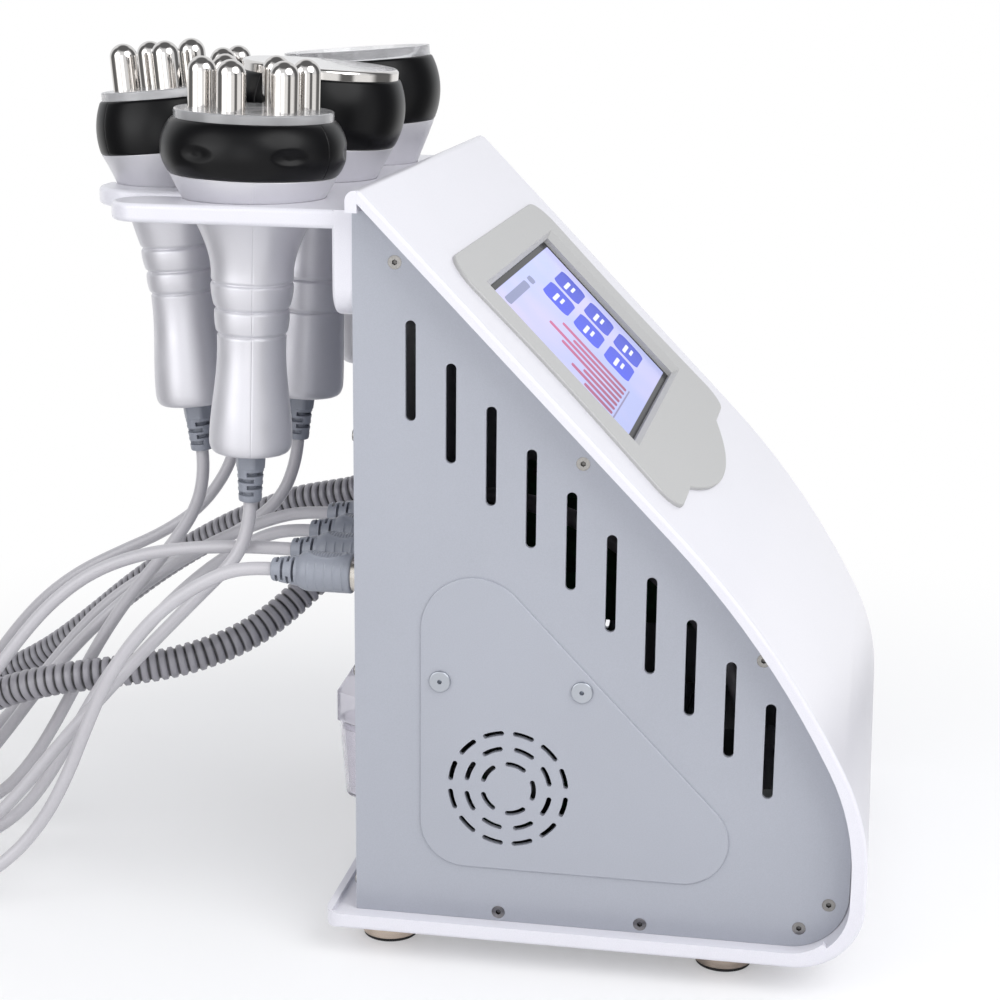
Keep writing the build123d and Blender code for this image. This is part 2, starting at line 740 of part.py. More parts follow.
def grip_body(name, grow):
    """The grip turned about its axis, with its radii larger by grow."""
    heights, radii, end = grips[name][:3]
    length = heights[-1]
    places = [(r + grow, h - length) for h, r in zip(heights, radii)]
    flare, waist, shoulder = places[:3]
    foot = (end + grow, -length)
    across, up = grip_foot_shares
    outline = [
        Line((0, -length), foot),
        ThreePointArc(foot, (foot[0] + (flare[0] - foot[0]) * across, -length + heights[0] * up), flare),
        Spline(flare, waist, shoulder, tangents=((0, 1), (slope_shares[name][0], 1))),
        Spline(shoulder, *places[3:]),
        Line(places[-1], (0, 0)),
        Line((0, 0), (0, -length)),
    ]
    return revolve(Plane.XZ * make_face(Wire.combine(outline)[0]), Axis.Z)


def seat_of(name):
    """The conical seat that the grip drops into."""
    return axis_of(name) * (grip_body(name, seat_gap) & Pos(0, 0, -plate_thick) * Box(
        4 * plate_half, 4 * plate_half, 12 * plate_thick))


def grip(name):
    heights, radii, _, drops = grips[name]
    length = heights[-1]
    shoulder, radius, narrowing = heights[2] - length, radii[2], slope_shares[name][1]
    shell = grip_body(name, 0)
    for low, high in zip(drops, drops[1:]):
        shell += swollen_ring((radius - low * narrowing, shoulder - low), (radius - high * narrowing, shoulder - high))
    hollow = grip_body(name, -grip_wall)
    hollow -= Pos(0, 0, -length) * Cylinder(radii[0], 2 * grip_wall)
    shell -= hollow
    for drop in drops:
        shell -= Pos(0, 0, shoulder - drop) * sharp_groove(radius - drop * narrowing)
    return axis_of(name) * shell


def swollen_ring(top, bottom):
    """The swelling of the grip between two grooves."""
    middle = ((top[0] + bottom[0]) / 2 + ring_swell, (top[1] + bottom[1]) / 2)
    inner = top[0] - grip_wall
    outline = [ThreePointArc(bottom, middle, top), Line(top, (inner, top[1])),
               Line((inner, top[1]), (inner, bottom[1])), Line((inner, bottom[1]), bottom)]
    return revolve(Plane.XZ * make_face(Wire.combine(outline)[0]), Axis.Z)


def sharp_groove(radius):
    """A cutter for a V groove round the grip."""
    half = groove_width / 2
    spread = (groove_depth + overrun) * half / groove_depth
    cut = make_face(Polyline((radius - groove_depth, 0), (radius + overrun, spread),
                             (radius + overrun, -spread), close=True))
    return revolve(Plane.XZ * cut, Axis.Z)


def bulb(name):
    """The black band round the head, bored through, with a shallow seat for what lies on it."""
    height, widest, middle, top = handpieces[name][4:]
    root = grips[name][1][-1]
    bore = top - bulb_bore_wall
    outline = [
        Line((bore, 0), (root, 0)),
        Spline((root, 0), (widest, middle), (top, height)),
        Line((top, height), (bore, height)),
        Line((bore, height), (bore, 0)),
    ]
    ring = revolve(Plane.XZ * make_face(Wire.combine(outline)[0]), Axis.Z)
    return axis_of(name) * ring


def disk(name):
    height = handpieces[name][4]
    radius = pin_sets[name][2]
    up = (Align.CENTER, Align.CENTER, Align.MIN)
    plate = Cylinder(radius, disk_thick, align=up)
    plate = fillet(plate.edges().sort_by(Axis.Z)[-1], disk_edge_radius)
    return axis_of(name) * Pos(0, 0, height) * plate


def pins(name):
    """Domed metal pins standing on the disk."""
    count, turn = pin_counts[name], pin_turns[name]
    circle, tall, _ = pin_sets[name]
    up = (Align.CENTER, Align.CENTER, Align.MIN)
    pin = Cylinder(pin_radius, tall - pin_radius, align=up) + Pos(0, 0, tall - pin_radius) * Sphere(pin_radius)
    base = handpieces[name][4] + disk_thick
    return [axis_of(name) * Rot(Z=turn + 360 / count * k) * Pos(circle, 0, base) * pin for k in range(count)]


def head_plate():
    """The flat polished face of the third handpiece, with its horn running down inside the bulb."""
    name = "flat_probe"
    height = handpieces[name][4]
    up = (Align.CENTER, Align.CENTER, Align.MIN)
    plate = Cylinder(head_plate_radius, head_plate_thick, align=up)
    plate = fillet(plate.edges().sort_by(Axis.Z)[-1], head_plate_edge)
    horn = Pos(0, 0, -height) * Cylinder(head_plate_radius / 2, height, align=up)
    return axis_of(name) * Pos(0, 0, height) * (plate + horn)


def suction_cup():
    """The clear rim of the fourth handpiece, with the bowl and the air hole below it."""
    name = "suction_probe"
    height, top = handpieces[name][4], handpieces[name][7]
    neck = top - bulb_bore_wall - seat_gap
    lip = cup_rim_radius - cup_wall
    outside = [
        Line((cup_hole_radius, -cup_bowl_depth - cup_wall), (cup_bowl_bottom_radius + cup_wall, -cup_bowl_depth - cup_wall)),
        Line((cup_bowl_bottom_radius + cup_wall, -cup_bowl_depth - cup_wall), (neck, -cup_wall * 2)),
        Line((neck, -cup_wall * 2), (neck, 0)),
        Line((neck, 0), (cup_rim_radius, 0)),
        Line((cup_rim_radius, 0), (cup_rim_radius, cup_rim_height)),
        Line((cup_rim_radius, cup_rim_height), (lip, cup_rim_height)),
        ThreePointArc((lip, cup_rim_height), ((lip + cup_bowl_bottom_radius) / 2 + cup_wall, -cup_bowl_depth * cup_bulge_share),
                      (cup_bowl_bottom_radius, -cup_bowl_depth)),
        Line((cup_bowl_bottom_radius, -cup_bowl_depth), (cup_hole_radius, -cup_bowl_depth)),
        Line((cup_hole_radius, -cup_bowl_depth), (cup_hole_radius, -cup_bowl_depth - cup_wall)),
    ]
    cup = revolve(Plane.XZ * make_face(Wire.combine(outside)[0]), Axis.Z)
    return axis_of(name) * Pos(0, 0, height) * cup


def strain_relief(name):
    """A six-sided collar and a slotted taper below the grip."""
    down = (Align.CENTER, Align.CENTER, Align.MAX)
    collar = Pos(0, 0, -relief_hex_length) * extrude(RegularPolygon(relief_hex, 6), amount=relief_hex_length)
    taper_length = relief_length - relief_hex_length
    taper = Pos(0, 0, -relief_hex_length) * Cone(relief_tip_radius, relief_root_radius, taper_length, align=down)
    relief = collar + taper
    pitch = taper_length / (relief_groove_count + 1)
    for k in range(relief_groove_count):
        ring = Cylinder(relief_hex + overrun, relief_groove)
        ring -= Cylinder(relief_tip_radius - relief_groove_depth, relief_groove)
        relief -= Pos(0, 0, -relief_hex_length - pitch * (k + relief_groove_start_share)) * ring
    return axis_of(name) * Pos(0, 0, -grip_length(name)) * relief


def hose_cuff():
    down = (Align.CENTER, Align.CENTER, Align.MAX)
    cuff = Cylinder(cuff_radius, cuff_length, align=down)
    cuff = fillet(cuff.edges().sort_by(Axis.Z)[0], cuff_edge_radius)
    cuff -= Cylinder(hose_bore_radius, cuff_length + overrun, align=down)
    return axis_of("suction_probe") * Pos(0, 0, -grip_length("suction_probe")) * cuff


# Sockets, plugs, port and jar on the rear
def socket(x):
    out = (Align.CENTER, Align.CENTER, Align.MIN)
    body = Cylinder(socket_flange_radius, sheet / 2, align=out) + Cylinder(socket_radius, socket_out, align=out)
    body += Pos(0, 0, -socket_in) * Cylinder(socket_radius - fit_gap, socket_in, align=out)
    return Plane((x, rear_y, ledge_z + plug_rise), z_dir=(0, 1, 0)) * body


def plug(x):
    """The moulded plug pushed on its socket, ribbed for the thumb, with a slotted boot."""
    out = (Align.CENTER, Align.CENTER, Align.MIN)
    start = socket_out
    body = Pos(0, 0, start) * Cylinder(plug_radius, plug_length, align=out)
    body = fillet(body.edges().filter_by(GeomType.CIRCLE), plug_edge_radius)
    rib_pitch = plug_length / (plug_rib_count + 2)
    for k in range(plug_rib_count):
        ring = Cylinder(plug_radius + overrun, plug_rib_depth * 2)
        ring -= Cylinder(plug_radius - plug_rib_depth, plug_rib_depth * 2)
        body -= Pos(0, 0, start + rib_pitch * (k + plug_rib_start_share)) * ring
    boot_start = start + plug_length
    body += Pos(0, 0, boot_start) * Cone(boot_root_radius, boot_tip_radius, boot_length, align=out)
    pitch = boot_length / (relief_groove_count + 1)
    for k in range(relief_groove_count):
        ring = Cylinder(boot_root_radius + overrun, relief_groove)
        ring -= Cylinder(boot_tip_radius - relief_groove_depth, relief_groove)
        body -= Pos(0, 0, boot_start + pitch * (k + boot_groove_start_share)) * ring
    return Plane((x, rear_y, ledge_z + plug_rise), z_dir=(0, 1, 0)) * body


def plug_tip(x):
    return (x, rear_y + socket_out + plug_length + boot_length, ledge_z + plug_rise)


def spout_frame():
    """The port's elbow: z points down and back along its spout."""
    return Pos(port_x, rear_y + port_out, ledge_z + port_rise) * Rot(X=-90 - port_droop)


def suction_port():
    """A port through the rear panel with an elbow whose spout holds the hose."""
    out = (Align.CENTER, Align.CENTER, Align.MIN)
    frame = Pos(port_x, rear_y, ledge_z + port_rise) * Rot(X=-90)
    port = Cylinder(port_radius, port_out, align=out) + Cylinder(port_flange_radius, sheet, align=out)
    port += Pos(0, 0, -port_in) * Cylinder(port_barb_radius, port_in, align=out)
    port = frame * port + spout_frame() * (Sphere(port_radius) + Cylinder(port_radius, port_spout, align=out))
    port -= frame * Pos(0, 0, -port_in - overrun) * Cylinder(port_bore, port_in + port_out + overrun, align=out)
    return port - spout_frame() * Cylinder(port_bore, port_spout + overrun, align=out)


def jar_axis():
    return Pos(jar_x, rear_y + jar_offset, ledge_z + jar_rise)


def filter_cup():
    """A tapered clear cup, turned a part turn to come off."""
    up = (Align.CENTER, Align.CENTER, Align.MIN)
    outer = Cone(jar_bottom_radius, jar_top_radius, jar_cup_height, align=up)
    outer = fillet(outer.edges().sort_by(Axis.Z)[0], jar_wall)
    inner = Pos(0, 0, jar_wall) * Cone(jar_bottom_radius - jar_wall, jar_top_radius - jar_wall,
                                       jar_cup_height, align=up)
    cup = outer - inner
    cup -= Pos(0, 0, jar_cup_height - jar_neck) * Cylinder(jar_top_radius - jar_wall, jar_neck + overrun, align=up)
    return jar_axis() * cup


def filter_head():
    """The jar's head: a six-sided cap over the cup and an arm back to the rear panel."""
    up = (Align.CENTER, Align.CENTER, Align.MIN)
    base = jar_cup_height + seat_gap
    hexagon = fillet(RegularPolygon(jar_head_radius, 6).vertices(), jar_head_edge_radius)
    head = extrude(Pos(0, 0, base) * hexagon, amount=jar_head_height)
    cap_base = base + jar_head_height
    head += loft([Pos(0, 0, cap_base) * hexagon, Pos(0, 0, cap_base + jar_cap_height) * scale(hexagon, jar_cap_share)])
    arm = Pos(0, -jar_offset / 2, base + jar_wall * 2) * Box(
        jar_arm_width, jar_offset, jar_head_height - jar_wall * 4, align=up)
    neck_start = jar_cup_height - jar_neck + seat_gap
    head += Pos(0, 0, neck_start) * Cylinder(jar_top_radius - jar_wall - running_gap, base - neck_start, align=up)
    return jar_axis() * (head + arm)


def mains_inlet():
    """An inlet for a mains lead below a rocker's frame, in one moulding."""
    width, height = inlet_width - 2 * inlet_flange - 2 * fit_gap, inlet_height - 2 * inlet_flange - 2 * fit_gap
    y, z = rear_y, inlet_z()
    inlet = block((inlet_x - inlet_width / 2, inlet_x + inlet_width / 2), (y, y + inlet_flange),
                  (z - inlet_height / 2, z + inlet_height / 2))
    inlet += block((inlet_x - width / 2, inlet_x + width / 2), (y - inlet_in, y), (z - height / 2, z + height / 2))
    well_z = z - inlet_height / 4
    well = Plane((inlet_x, y + inlet_flange, well_z), x_dir=(-1, 0, 0), z_dir=(0, 1, 0)) * Rectangle(*inlet_well)
    inlet -= extrude(well, amount=-inlet_in + inlet_flange)
    for across, up in blade_shares:
        blade_x, blade_z = inlet_x + across * inlet_well[0], well_z + up * inlet_well[1]
        inlet += block((blade_x - blade_width / 2, blade_x + blade_width / 2), (y - inlet_in + blade_gap, y),
                       (blade_z - blade_height / 2, blade_z + blade_height / 2))
    rocker_z = rocker_middle()[2]
    hole = (rocker_size[0] / 2 + seat_gap, rocker_size[1] / 2 + seat_gap + rocker_room)
    inlet -= block((inlet_x - hole[0], inlet_x + hole[0]), (y - rocker_thick * 2, y + inlet_flange + overrun),
                   (rocker_z - hole[1], rocker_z + hole[1]))
    pin = rocker_pin + running_gap
    inlet -= Pos(*rocker_middle()) * Rot(Y=90) * Cylinder(pin, rocker_size[0] + 4 * rocker_pin)
    return inlet


def rocker_middle():
    return (inlet_x, rear_y - rocker_pin, inlet_z() + inlet_height / 4)


def power_rocker():
    """The rocker on its two pin stubs, standing in its off position."""
    wide, tall = rocker_size
    tip = rocker_thick / 2 + inlet_flange
    back = tall * rocker_back_share
    face = yz_polygon((-rocker_thick / 2, -back), (tip, -tall / 2), (tip * rocker_dip_share, 0), (tip, tall / 2),
                      (-rocker_thick / 2, back))
    rocker = slab(face, -wide / 2, wide / 2)
    rocker += Rot(Y=90) * Cylinder(rocker_pin, wide + 3 * rocker_pin)
    return Pos(*rocker_middle()) * Rot(X=rocker_tilt) * rocker


# Feet
def foot_places():
    return [(side * foot_x, rear_y - depth) for side in (-1, 1) for depth in foot_depths]


def foot_cap(x, y):
    up = (Align.CENTER, Align.CENTER, Align.MIN)
    cap = Cylinder(foot_radius, foot_height - pad_thick, align=up)
    cap = fillet(cap.edges().sort_by(Axis.Z)[0], pad_inset)
    cap -= Cylinder(pan_radius + seat_gap, pan_height + pad_thick, align=up)
    cap -= Cylinder(screw_radius + fit_gap, foot_height, align=up)
    return Pos(x, y, pad_thick) * cap


def foot_pad(x, y):
    up = (Align.CENTER, Align.CENTER, Align.MIN)
    return Pos(x, y, 0) * Cylinder(foot_radius - 2 * pad_inset, pad_thick, align=up)


# Fan
def fan_axis():
    y, z = at(fan_depth, fan_rise)
    return (-panel_x + sheet + fan_boss_height, y, z)


def fan_frame():
    x, y, z = fan_axis()
    half = fan_size / 2
    frame = block((x, x + fan_thick), (y - half, y + half), (z - half, z + half))
    frame -= Pos(x + fan_thick / 2, y, z) * Rot(Y=90) * Cylinder(fan_bore, fan_thick * 2)
    base_x = x + fan_thick - fan_base / 2
    frame += Pos(base_x, y, z) * Rot(Y=90) * Cylinder(fan_hub, fan_base)
    for turn in (45, 135, 225, 315):
        arm = Rot(X=turn) * Pos(0, (fan_hub + fan_bore) / 2, 0) * Box(fan_base, fan_bore - fan_hub + fan_base, fan_base)
        frame += Pos(base_x, y, z) * arm
    frame -= Pos(base_x, y, z) * Rot(Y=90) * Cylinder(fan_shaft + running_gap, fan_thick)
    for dy, dz in fan_screw_places():
        frame -= Pos(x, y + dy, z + dz) * Rot(Y=90) * Cylinder(screw_radius + fit_gap, fan_thick * 3)
    return frame


def fan_screw_places():
    return [(a * fan_screw_offset, b * fan_screw_offset) for a in (-1, 1) for b in (-1, 1)]


def fan_bosses():
    """Threaded bosses inside the panel at -x, part of that panel, which carry the fan."""
    x, y, z = fan_axis()
    boss = Cylinder(fan_boss_radius, fan_boss_height) - Cylinder(screw_radius + fit_gap, 2 * fan_boss_height)
    return [Pos(x - fan_boss_height / 2, y + dy, z + dz) * Rot(Y=90) * boss for dy, dz in fan_screw_places()]


def fan_screws():
    x, y, z = fan_axis()
    return [Pos(x + fan_thick, y + dy, z + dz) * Rot(Y=-90) * pan_screw(fan_thick + fan_boss_height - fit_gap)
            for dy, dz in fan_screw_places()]


def fan_rotor():
    x, y, z = fan_axis()
    long = fan_thick - fan_base - seat_gap * 3
    hub = Cylinder(fan_hub - seat_gap, long)
    reach = fan_bore - seat_gap * 4
    rotor = hub
    for k in range(fan_blades):
        turned = Rot(Z=360 / fan_blades * k) * (
            Pos((fan_hub + reach) / 2, 0, 0) * Rot(X=fan_blade_turn) * Box(
                reach - fan_hub + 2 * fan_blade_thick, fan_blade_thick, long * fan_blade_width_share))
        rotor += turned
    rotor &= Cylinder(reach, long)
    rotor += Pos(0, 0, long / 2 + fan_base / 2) * Cylinder(fan_shaft, fan_base)
    return Pos(x + long / 2 + seat_gap, y, z) * Rot(Y=90) * rotor


# Inside
def board(width, length):
    """A circuit board lying flat, corner at the origin, with its parts on top."""
    up = (Align.MIN, Align.MIN, Align.MIN)
    plate = Box(width, length, board_thick, align=up)
    for (left, near, wide, long), tall in zip(board_part_shares, board_part_heights):
        plate += Pos(left * width, near * length, board_thick) * Box(
            wide * width, long * length, tall, align=up)
    for x, y in board_corners(width, length):
        plate -= Pos(x, y, 0) * Cylinder(screw_radius + fit_gap, 4 * board_thick)
    return plate


def board_corners(width, length):
    inset = 2 * standoff_radius
    return [(x, y) for x in (inset, width - inset) for y in (inset, length - inset)]


def standoff(height):
    up = (Align.CENTER, Align.CENTER, Align.MIN)
    return extrude(RegularPolygon(standoff_radius, 6), amount=height) - Pos(0, 0, height - pan_length) * Cylinder(
        screw_radius + fit_gap, pan_length + overrun, align=up)


def main_board_frame():
    """The frame of the upright main board: z points from the panel at +x into the machine."""
    depth, rise = main_board_place
    y, z = at(depth, rise)
    return Plane((panel_x - sheet, y, z), x_dir=(0, -1, 0), z_dir=(-1, 0, 0))


def generator_frame():
    x, depth = generator_place
    return Plane((x, rear_y - depth - generator_size[1], ledge_z), x_dir=(1, 0, 0), z_dir=(0, 0, 1))


def on_standoffs(frame, size):
    """A board, its stand-offs and its screws on one frame."""
    made = frame * Pos(0, 0, standoff_height) * board(*size)
    legs = [frame * Pos(x, y, 0) * standoff(standoff_height) for x, y in board_corners(*size)]
    top = standoff_height + board_thick
    screws = [frame * Pos(x, y, top) * Rot(X=180) * pan_screw() for x, y in board_corners(*size)]
    return made, legs, screws


def power_supply():
    x, depth = supply_place
    wide, long, tall = supply_size
    y = rear_y - depth
    box = block((x, x + wide), (y - long, y), (ledge_z, ledge_z + tall))
    margin = wide * vent_margin_share
    for k in range(vent_count):
        across = y - long * vent_pitch_share * (k + 1)
        box -= block((x + margin, x + wide - margin), (across - sheet / 2, across + sheet / 2),
                     (ledge_z + tall - sheet, ledge_z + tall + overrun))
    return box


def vacuum_pump():
    """A small diaphragm pump: motor, head and an outlet pipe, on a base plate."""
    x, depth = pump_place
    wide, long, tall = pump_size
    y = rear_y - depth
    middle = x + wide / 2
    pump = block((x, x + wide), (y - long, y), (ledge_z, ledge_z + sheet))
    place, length = [share * long for share in motor_shares]
    pump += Pos(middle, y - place, ledge_z + tall / 2) * Rot(X=90) * Cylinder(tall / 2 - sheet, length)
    half = wide * head_width_share / 2
    start, end = [y - share * long for share in head_shares]
    pump += block((middle - half, middle + half), (end, start), (ledge_z, ledge_z + tall))
    out = (Align.CENTER, Align.CENTER, Align.MIN)
    outlet = pump_outlet()
    pump += Pos(outlet[0], outlet[1], ledge_z + tall) * Cylinder(pump_port_radius, pump_port_length, align=out)
    return pump


def pump_outlet():
    x, depth = pump_place
    wide, long, tall = pump_size
    return (x + wide / 2, rear_y - depth - long * outlet_share, ledge_z + tall + pump_port_length)


# Cords: points chosen by hand, joined by straight runs and tangent arcs
cord_routes = {
    "body_probe_cord": [
        (-88.4, 105.5, 166.5), (-91, 118, 153.5), (-93.5, 133.2, 137.6), (-95.3, 149.5, 120.3),
        (-96.1, 170, 97.5), (-96.9, 192.3, 71.7), (-97.4, 208.6, 51.1), (-98.2, 226.4, 31.9),
        (-99.1, 247.5, 16.4), (-99.7, 271.9, 7.1), (-99.3, 297.9, 3.7), (-98.7, 324.1, 3.1),
        (-102.2, 350, 3.2), (-118.6, 369.5, 3.2), (-144.1, 371, 3.2), (-162.2, 353, 3.2),
        (-166.2, 327.4, 3.2), (-158, 302.7, 3.1), (-145.4, 279.6, 3.1), (-133, 256.5, 3.3),
        (-122.1, 233.1, 7.6), (-114.4, 211.7, 20.3), (-110.6, 194.9, 39.9), (-109.9, 182.4, 62.9),
        (-111, 172.2, 87.1), (-112.5, 161.3, 110.9), (-113.5, 147, 132.9), (-113.7, 128.9, 151.8),
        (-113.5, 106.9, 165.9),
    ],
    "face_probe_cord": [
        (-38.8, 140.6, 174), (-40, 155.2, 153.4), (-41.3, 171.9, 133.2), (-42.3, 186.5, 112.3),
        (-43.2, 199.2, 90.1), (-43.7, 211.2, 67.5), (-43.6, 224.5, 45.6), (-41.7, 240.8, 26.1),
        (-36.2, 261.2, 11.9), (-27.1, 284, 4.9), (-17.1, 307.4, 3.2), (-11.8, 332.3, 3.2),
        (-20.2, 355.9, 3.2), (-42.2, 367.7, 3.2), (-65.5, 359.6, 3.2), (-75.9, 336.8, 3.2),
        (-75.1, 311.3, 3.1), (-72.4, 285.8, 3.4), (-71.7, 260.5, 6.4), (-73.1, 236.7, 15.5),
        (-74.8, 217.2, 31.8), (-75.7, 202.4, 52.6), (-75.2, 190.1, 75), (-72.9, 177.3, 97),
        (-68.7, 162.5, 117.4), (-62.8, 146, 136.1), (-56.2, 127.7, 152.6), (-50.2, 106.7, 165.8),
    ],
    "flat_probe_cord": [
        (-0.8, 109.7, 171.2), (-3.2, 129.9, 155.1), (-5.5, 153.1, 143.5), (-7.3, 176.2, 131.5),
        (-8.3, 197.4, 116.3), (-8.6, 215.6, 97.6), (-8.2, 232.1, 77.3), (-6.5, 248.8, 57.3),
        (-3, 266.8, 38.8), (2.6, 286.5, 22.6), (10.6, 307.9, 10.2), (20.6, 331, 3.6),
        (31.7, 354.6, 3.1), (41.6, 378.7, 3.1), (46.4, 404.3, 3.2), (36.9, 427.8, 3.2),
        (13.1, 436.8, 3.2), (-10.1, 426.5, 3.2), (-18.2, 402.4, 3.2), (-12, 377.2, 3.1),
        (-3.9, 352.4, 3.1), (-4, 326.5, 3.3), (-11.7, 301.9, 7.1), (-21.2, 279.7, 16.8),
        (-28.2, 260.6, 33), (-31.1, 244.1, 53), (-31.6, 228.4, 73.8), (-31.5, 211.9, 94),
        (-31.1, 193.9, 113), (-30, 174.4, 130.3), (-27.2, 153.3, 145.3), (-22.5, 130.9, 157.9),
        (-17.4, 107.1, 167.2),
    ],
    "eye_probe_cord": [
        (38.5, 148.8, 174.7), (38.8, 163.9, 154.1), (38.9, 185, 139.5), (39, 208.2, 128.3),
        (39.2, 230.9, 116.3), (39.9, 251.2, 100.6), (41.1, 268.6, 81.6), (43.3, 284.1, 61.2),
        (47, 299.3, 40.8), (53.4, 316, 22.3), (63, 335.8, 9.2), (73.3, 358.6, 3.7), (79.7, 383.4, 3.1),
        (79.9, 409.1, 3.1), (73.5, 433.9, 3.2), (59.4, 455.2, 3.2), (38.7, 470.2, 3.2),
        (14.3, 478.2, 3.2), (-11.3, 479.1, 3.2), (-36.7, 474.9, 3.2), (-60.5, 465.3, 3.2),
        (-79.1, 447.9, 3.2), (-88.8, 424.3, 3.2), (-90.7, 398.7, 3.1), (-89, 373, 3.1),
        (-87.2, 347.3, 3.1), (-86.2, 321.7, 5.2), (-85.1, 298.5, 15.7), (-83.1, 279.8, 33.2),
        (-80.8, 263.7, 53.1), (-78.9, 248.4, 73.7), (-77.4, 233.2, 94.5), (-76.2, 218, 115.2),
        (-74.7, 201.4, 134.7), (-73.4, 181.3, 150.7), (-73.7, 157.8, 160.8), (-76.2, 132.8, 166.4),
        (-79.5, 107.4, 169.3),
    ],
}
cord_ends = {
    "body_probe_cord": ("body_probe", 0),
    "face_probe_cord": ("face_probe", 2),
    "flat_probe_cord": ("flat_probe", 3),
    "eye_probe_cord": ("eye_probe", 1),
}
hose_route = [
        (84.3, 77.6, 172), (85.5, 88, 157), (88, 107, 152.5), (91, 128, 147.2), (93, 146, 139), (96.5, 166, 129.5), (100.8, 195.5, 111.3),
        (104.5, 223.8, 90.6), (107.9, 250.3, 67.7), (110.5, 277.9, 46), (111, 308.7, 29.1),
        (106.8, 342.2, 19.6), (92.1, 373.7, 17.1), (63.5, 393.5, 16.6), (28.9, 398.4, 15.6),
        (-4.1, 387.2, 15.1), (-29.2, 362.9, 16.1), (-44.9, 332.3, 22.8), (-53.5, 302.2, 38.7),
        (-58.3, 274.5, 59.9), (-61.1, 245.2, 79.1), (-61.3, 212.3, 91.3), (-57.3, 177.8, 96.7),
        (-47.2, 144.4, 101.2), (-29.3, 116, 111), (-7.1, 95, 128.3),
]
air_route = [
        (-70.7, -119.7, 120.3), (-58.3, -99.8, 145.1), (-40.4, -75.3, 160.9), (-20.3, -49.2, 170.7),
        (-2.2, -20.6, 176.2),
]


def smooth_radii(points):
    """The arc at each corner that takes its share of the shorter run."""
    radii = []
    for before, corner, after in zip(points, points[1:], points[2:]):
        a = Vector(*corner) - Vector(*before)
        b = Vector(*after) - Vector(*corner)
        turn = math.radians(a.get_angle(b))
        radii.append(arc_share * min(a.length, b.length) / math.tan(turn / 2))
    return radii


def path_of(points, label):
    radii = smooth_radii(points)
    path = FilletPolyline(points, radius=radii)
    print(label, "length", round(path.length, 1), "least radius", round(min(radii), 1),
          "radii", [round(r) for r in radii])
    return path


def tube(points, radius, label):
    """A round tube swept along straight runs and tangent arcs."""
    path = path_of(points, label)
    start = Plane(origin=path @ 0, z_dir=path % 0)
    made = sweep(start * Circle(radius), path=path)
    expected = math.pi * radius ** 2 * path.length
    print(label, "volume share", round(made.volume / expected, 4))
    return made


def along(frame, distance):
    """The place on a frame's z axis at a distance from its origin."""
    place = (frame * Pos(0, 0, distance)).position
    return (place.X, place.Y, place.Z)


def cord(name):
    probe, k = cord_ends[name]
    frame, tip = axis_of(probe), -grip_length(probe) - relief_length
    x, y, z = plug_tip(plug_xs[k])
    ends = [(x, y + cord_exit, z), (x, y, z)]
    points = [along(frame, tip), along(frame, tip - cord_exit)] + cord_routes[name] + ends
    return tube(points, cord_radius, name)


def air_tube():
    x, y, z = pump_outlet()
    tail = (port_x, rear_y - port_in, ledge_z + port_rise)
    ends = [(tail[0], tail[1] - air_exit, tail[2]), tail]
    return tube([(x, y, z), (x, y, z + air_exit)] + air_route + ends, air_tube_radius, "air_tube")


def suction_hose():
    """The ribbed hose: rings of root and crest along the route, and a bore through them."""
    frame, tip = axis_of("suction_probe"), -grip_length("suction_probe") - cuff_length
    points = [along(frame, tip), along(frame, tip - hose_top_exit)] + hose_route
    points += [along(spout_frame(), port_spout + hose_exit), along(spout_frame(), port_spout)]
    path = path_of(points, "suction_hose")
    ribs = round(path.length / hose_pitch)
    print("suction_hose ribs", ribs)
    rings = []
    across = Vector(1, 0, 0)
    for k in range(ribs):
        for share, radius in zip(rib_shares, (hose_root_radius, hose_radius, hose_radius, hose_root_radius)):
            place = (k + share) / ribs
            ahead = path % place
            across = (across - ahead * across.dot(ahead)).normalized()
            rings.append(Wire.make_circle(radius, Plane(origin=path @ place, x_dir=across, z_dir=ahead)))
    rings.append(Wire.make_circle(hose_root_radius, Plane(origin=path @ 1, x_dir=across, z_dir=path % 1)))
    outer = Solid.make_loft(rings, ruled=True)
    bore = sweep(Plane(origin=path @ 0, z_dir=path % 0) * Circle(hose_bore_radius), path=path)
    return outer - bore


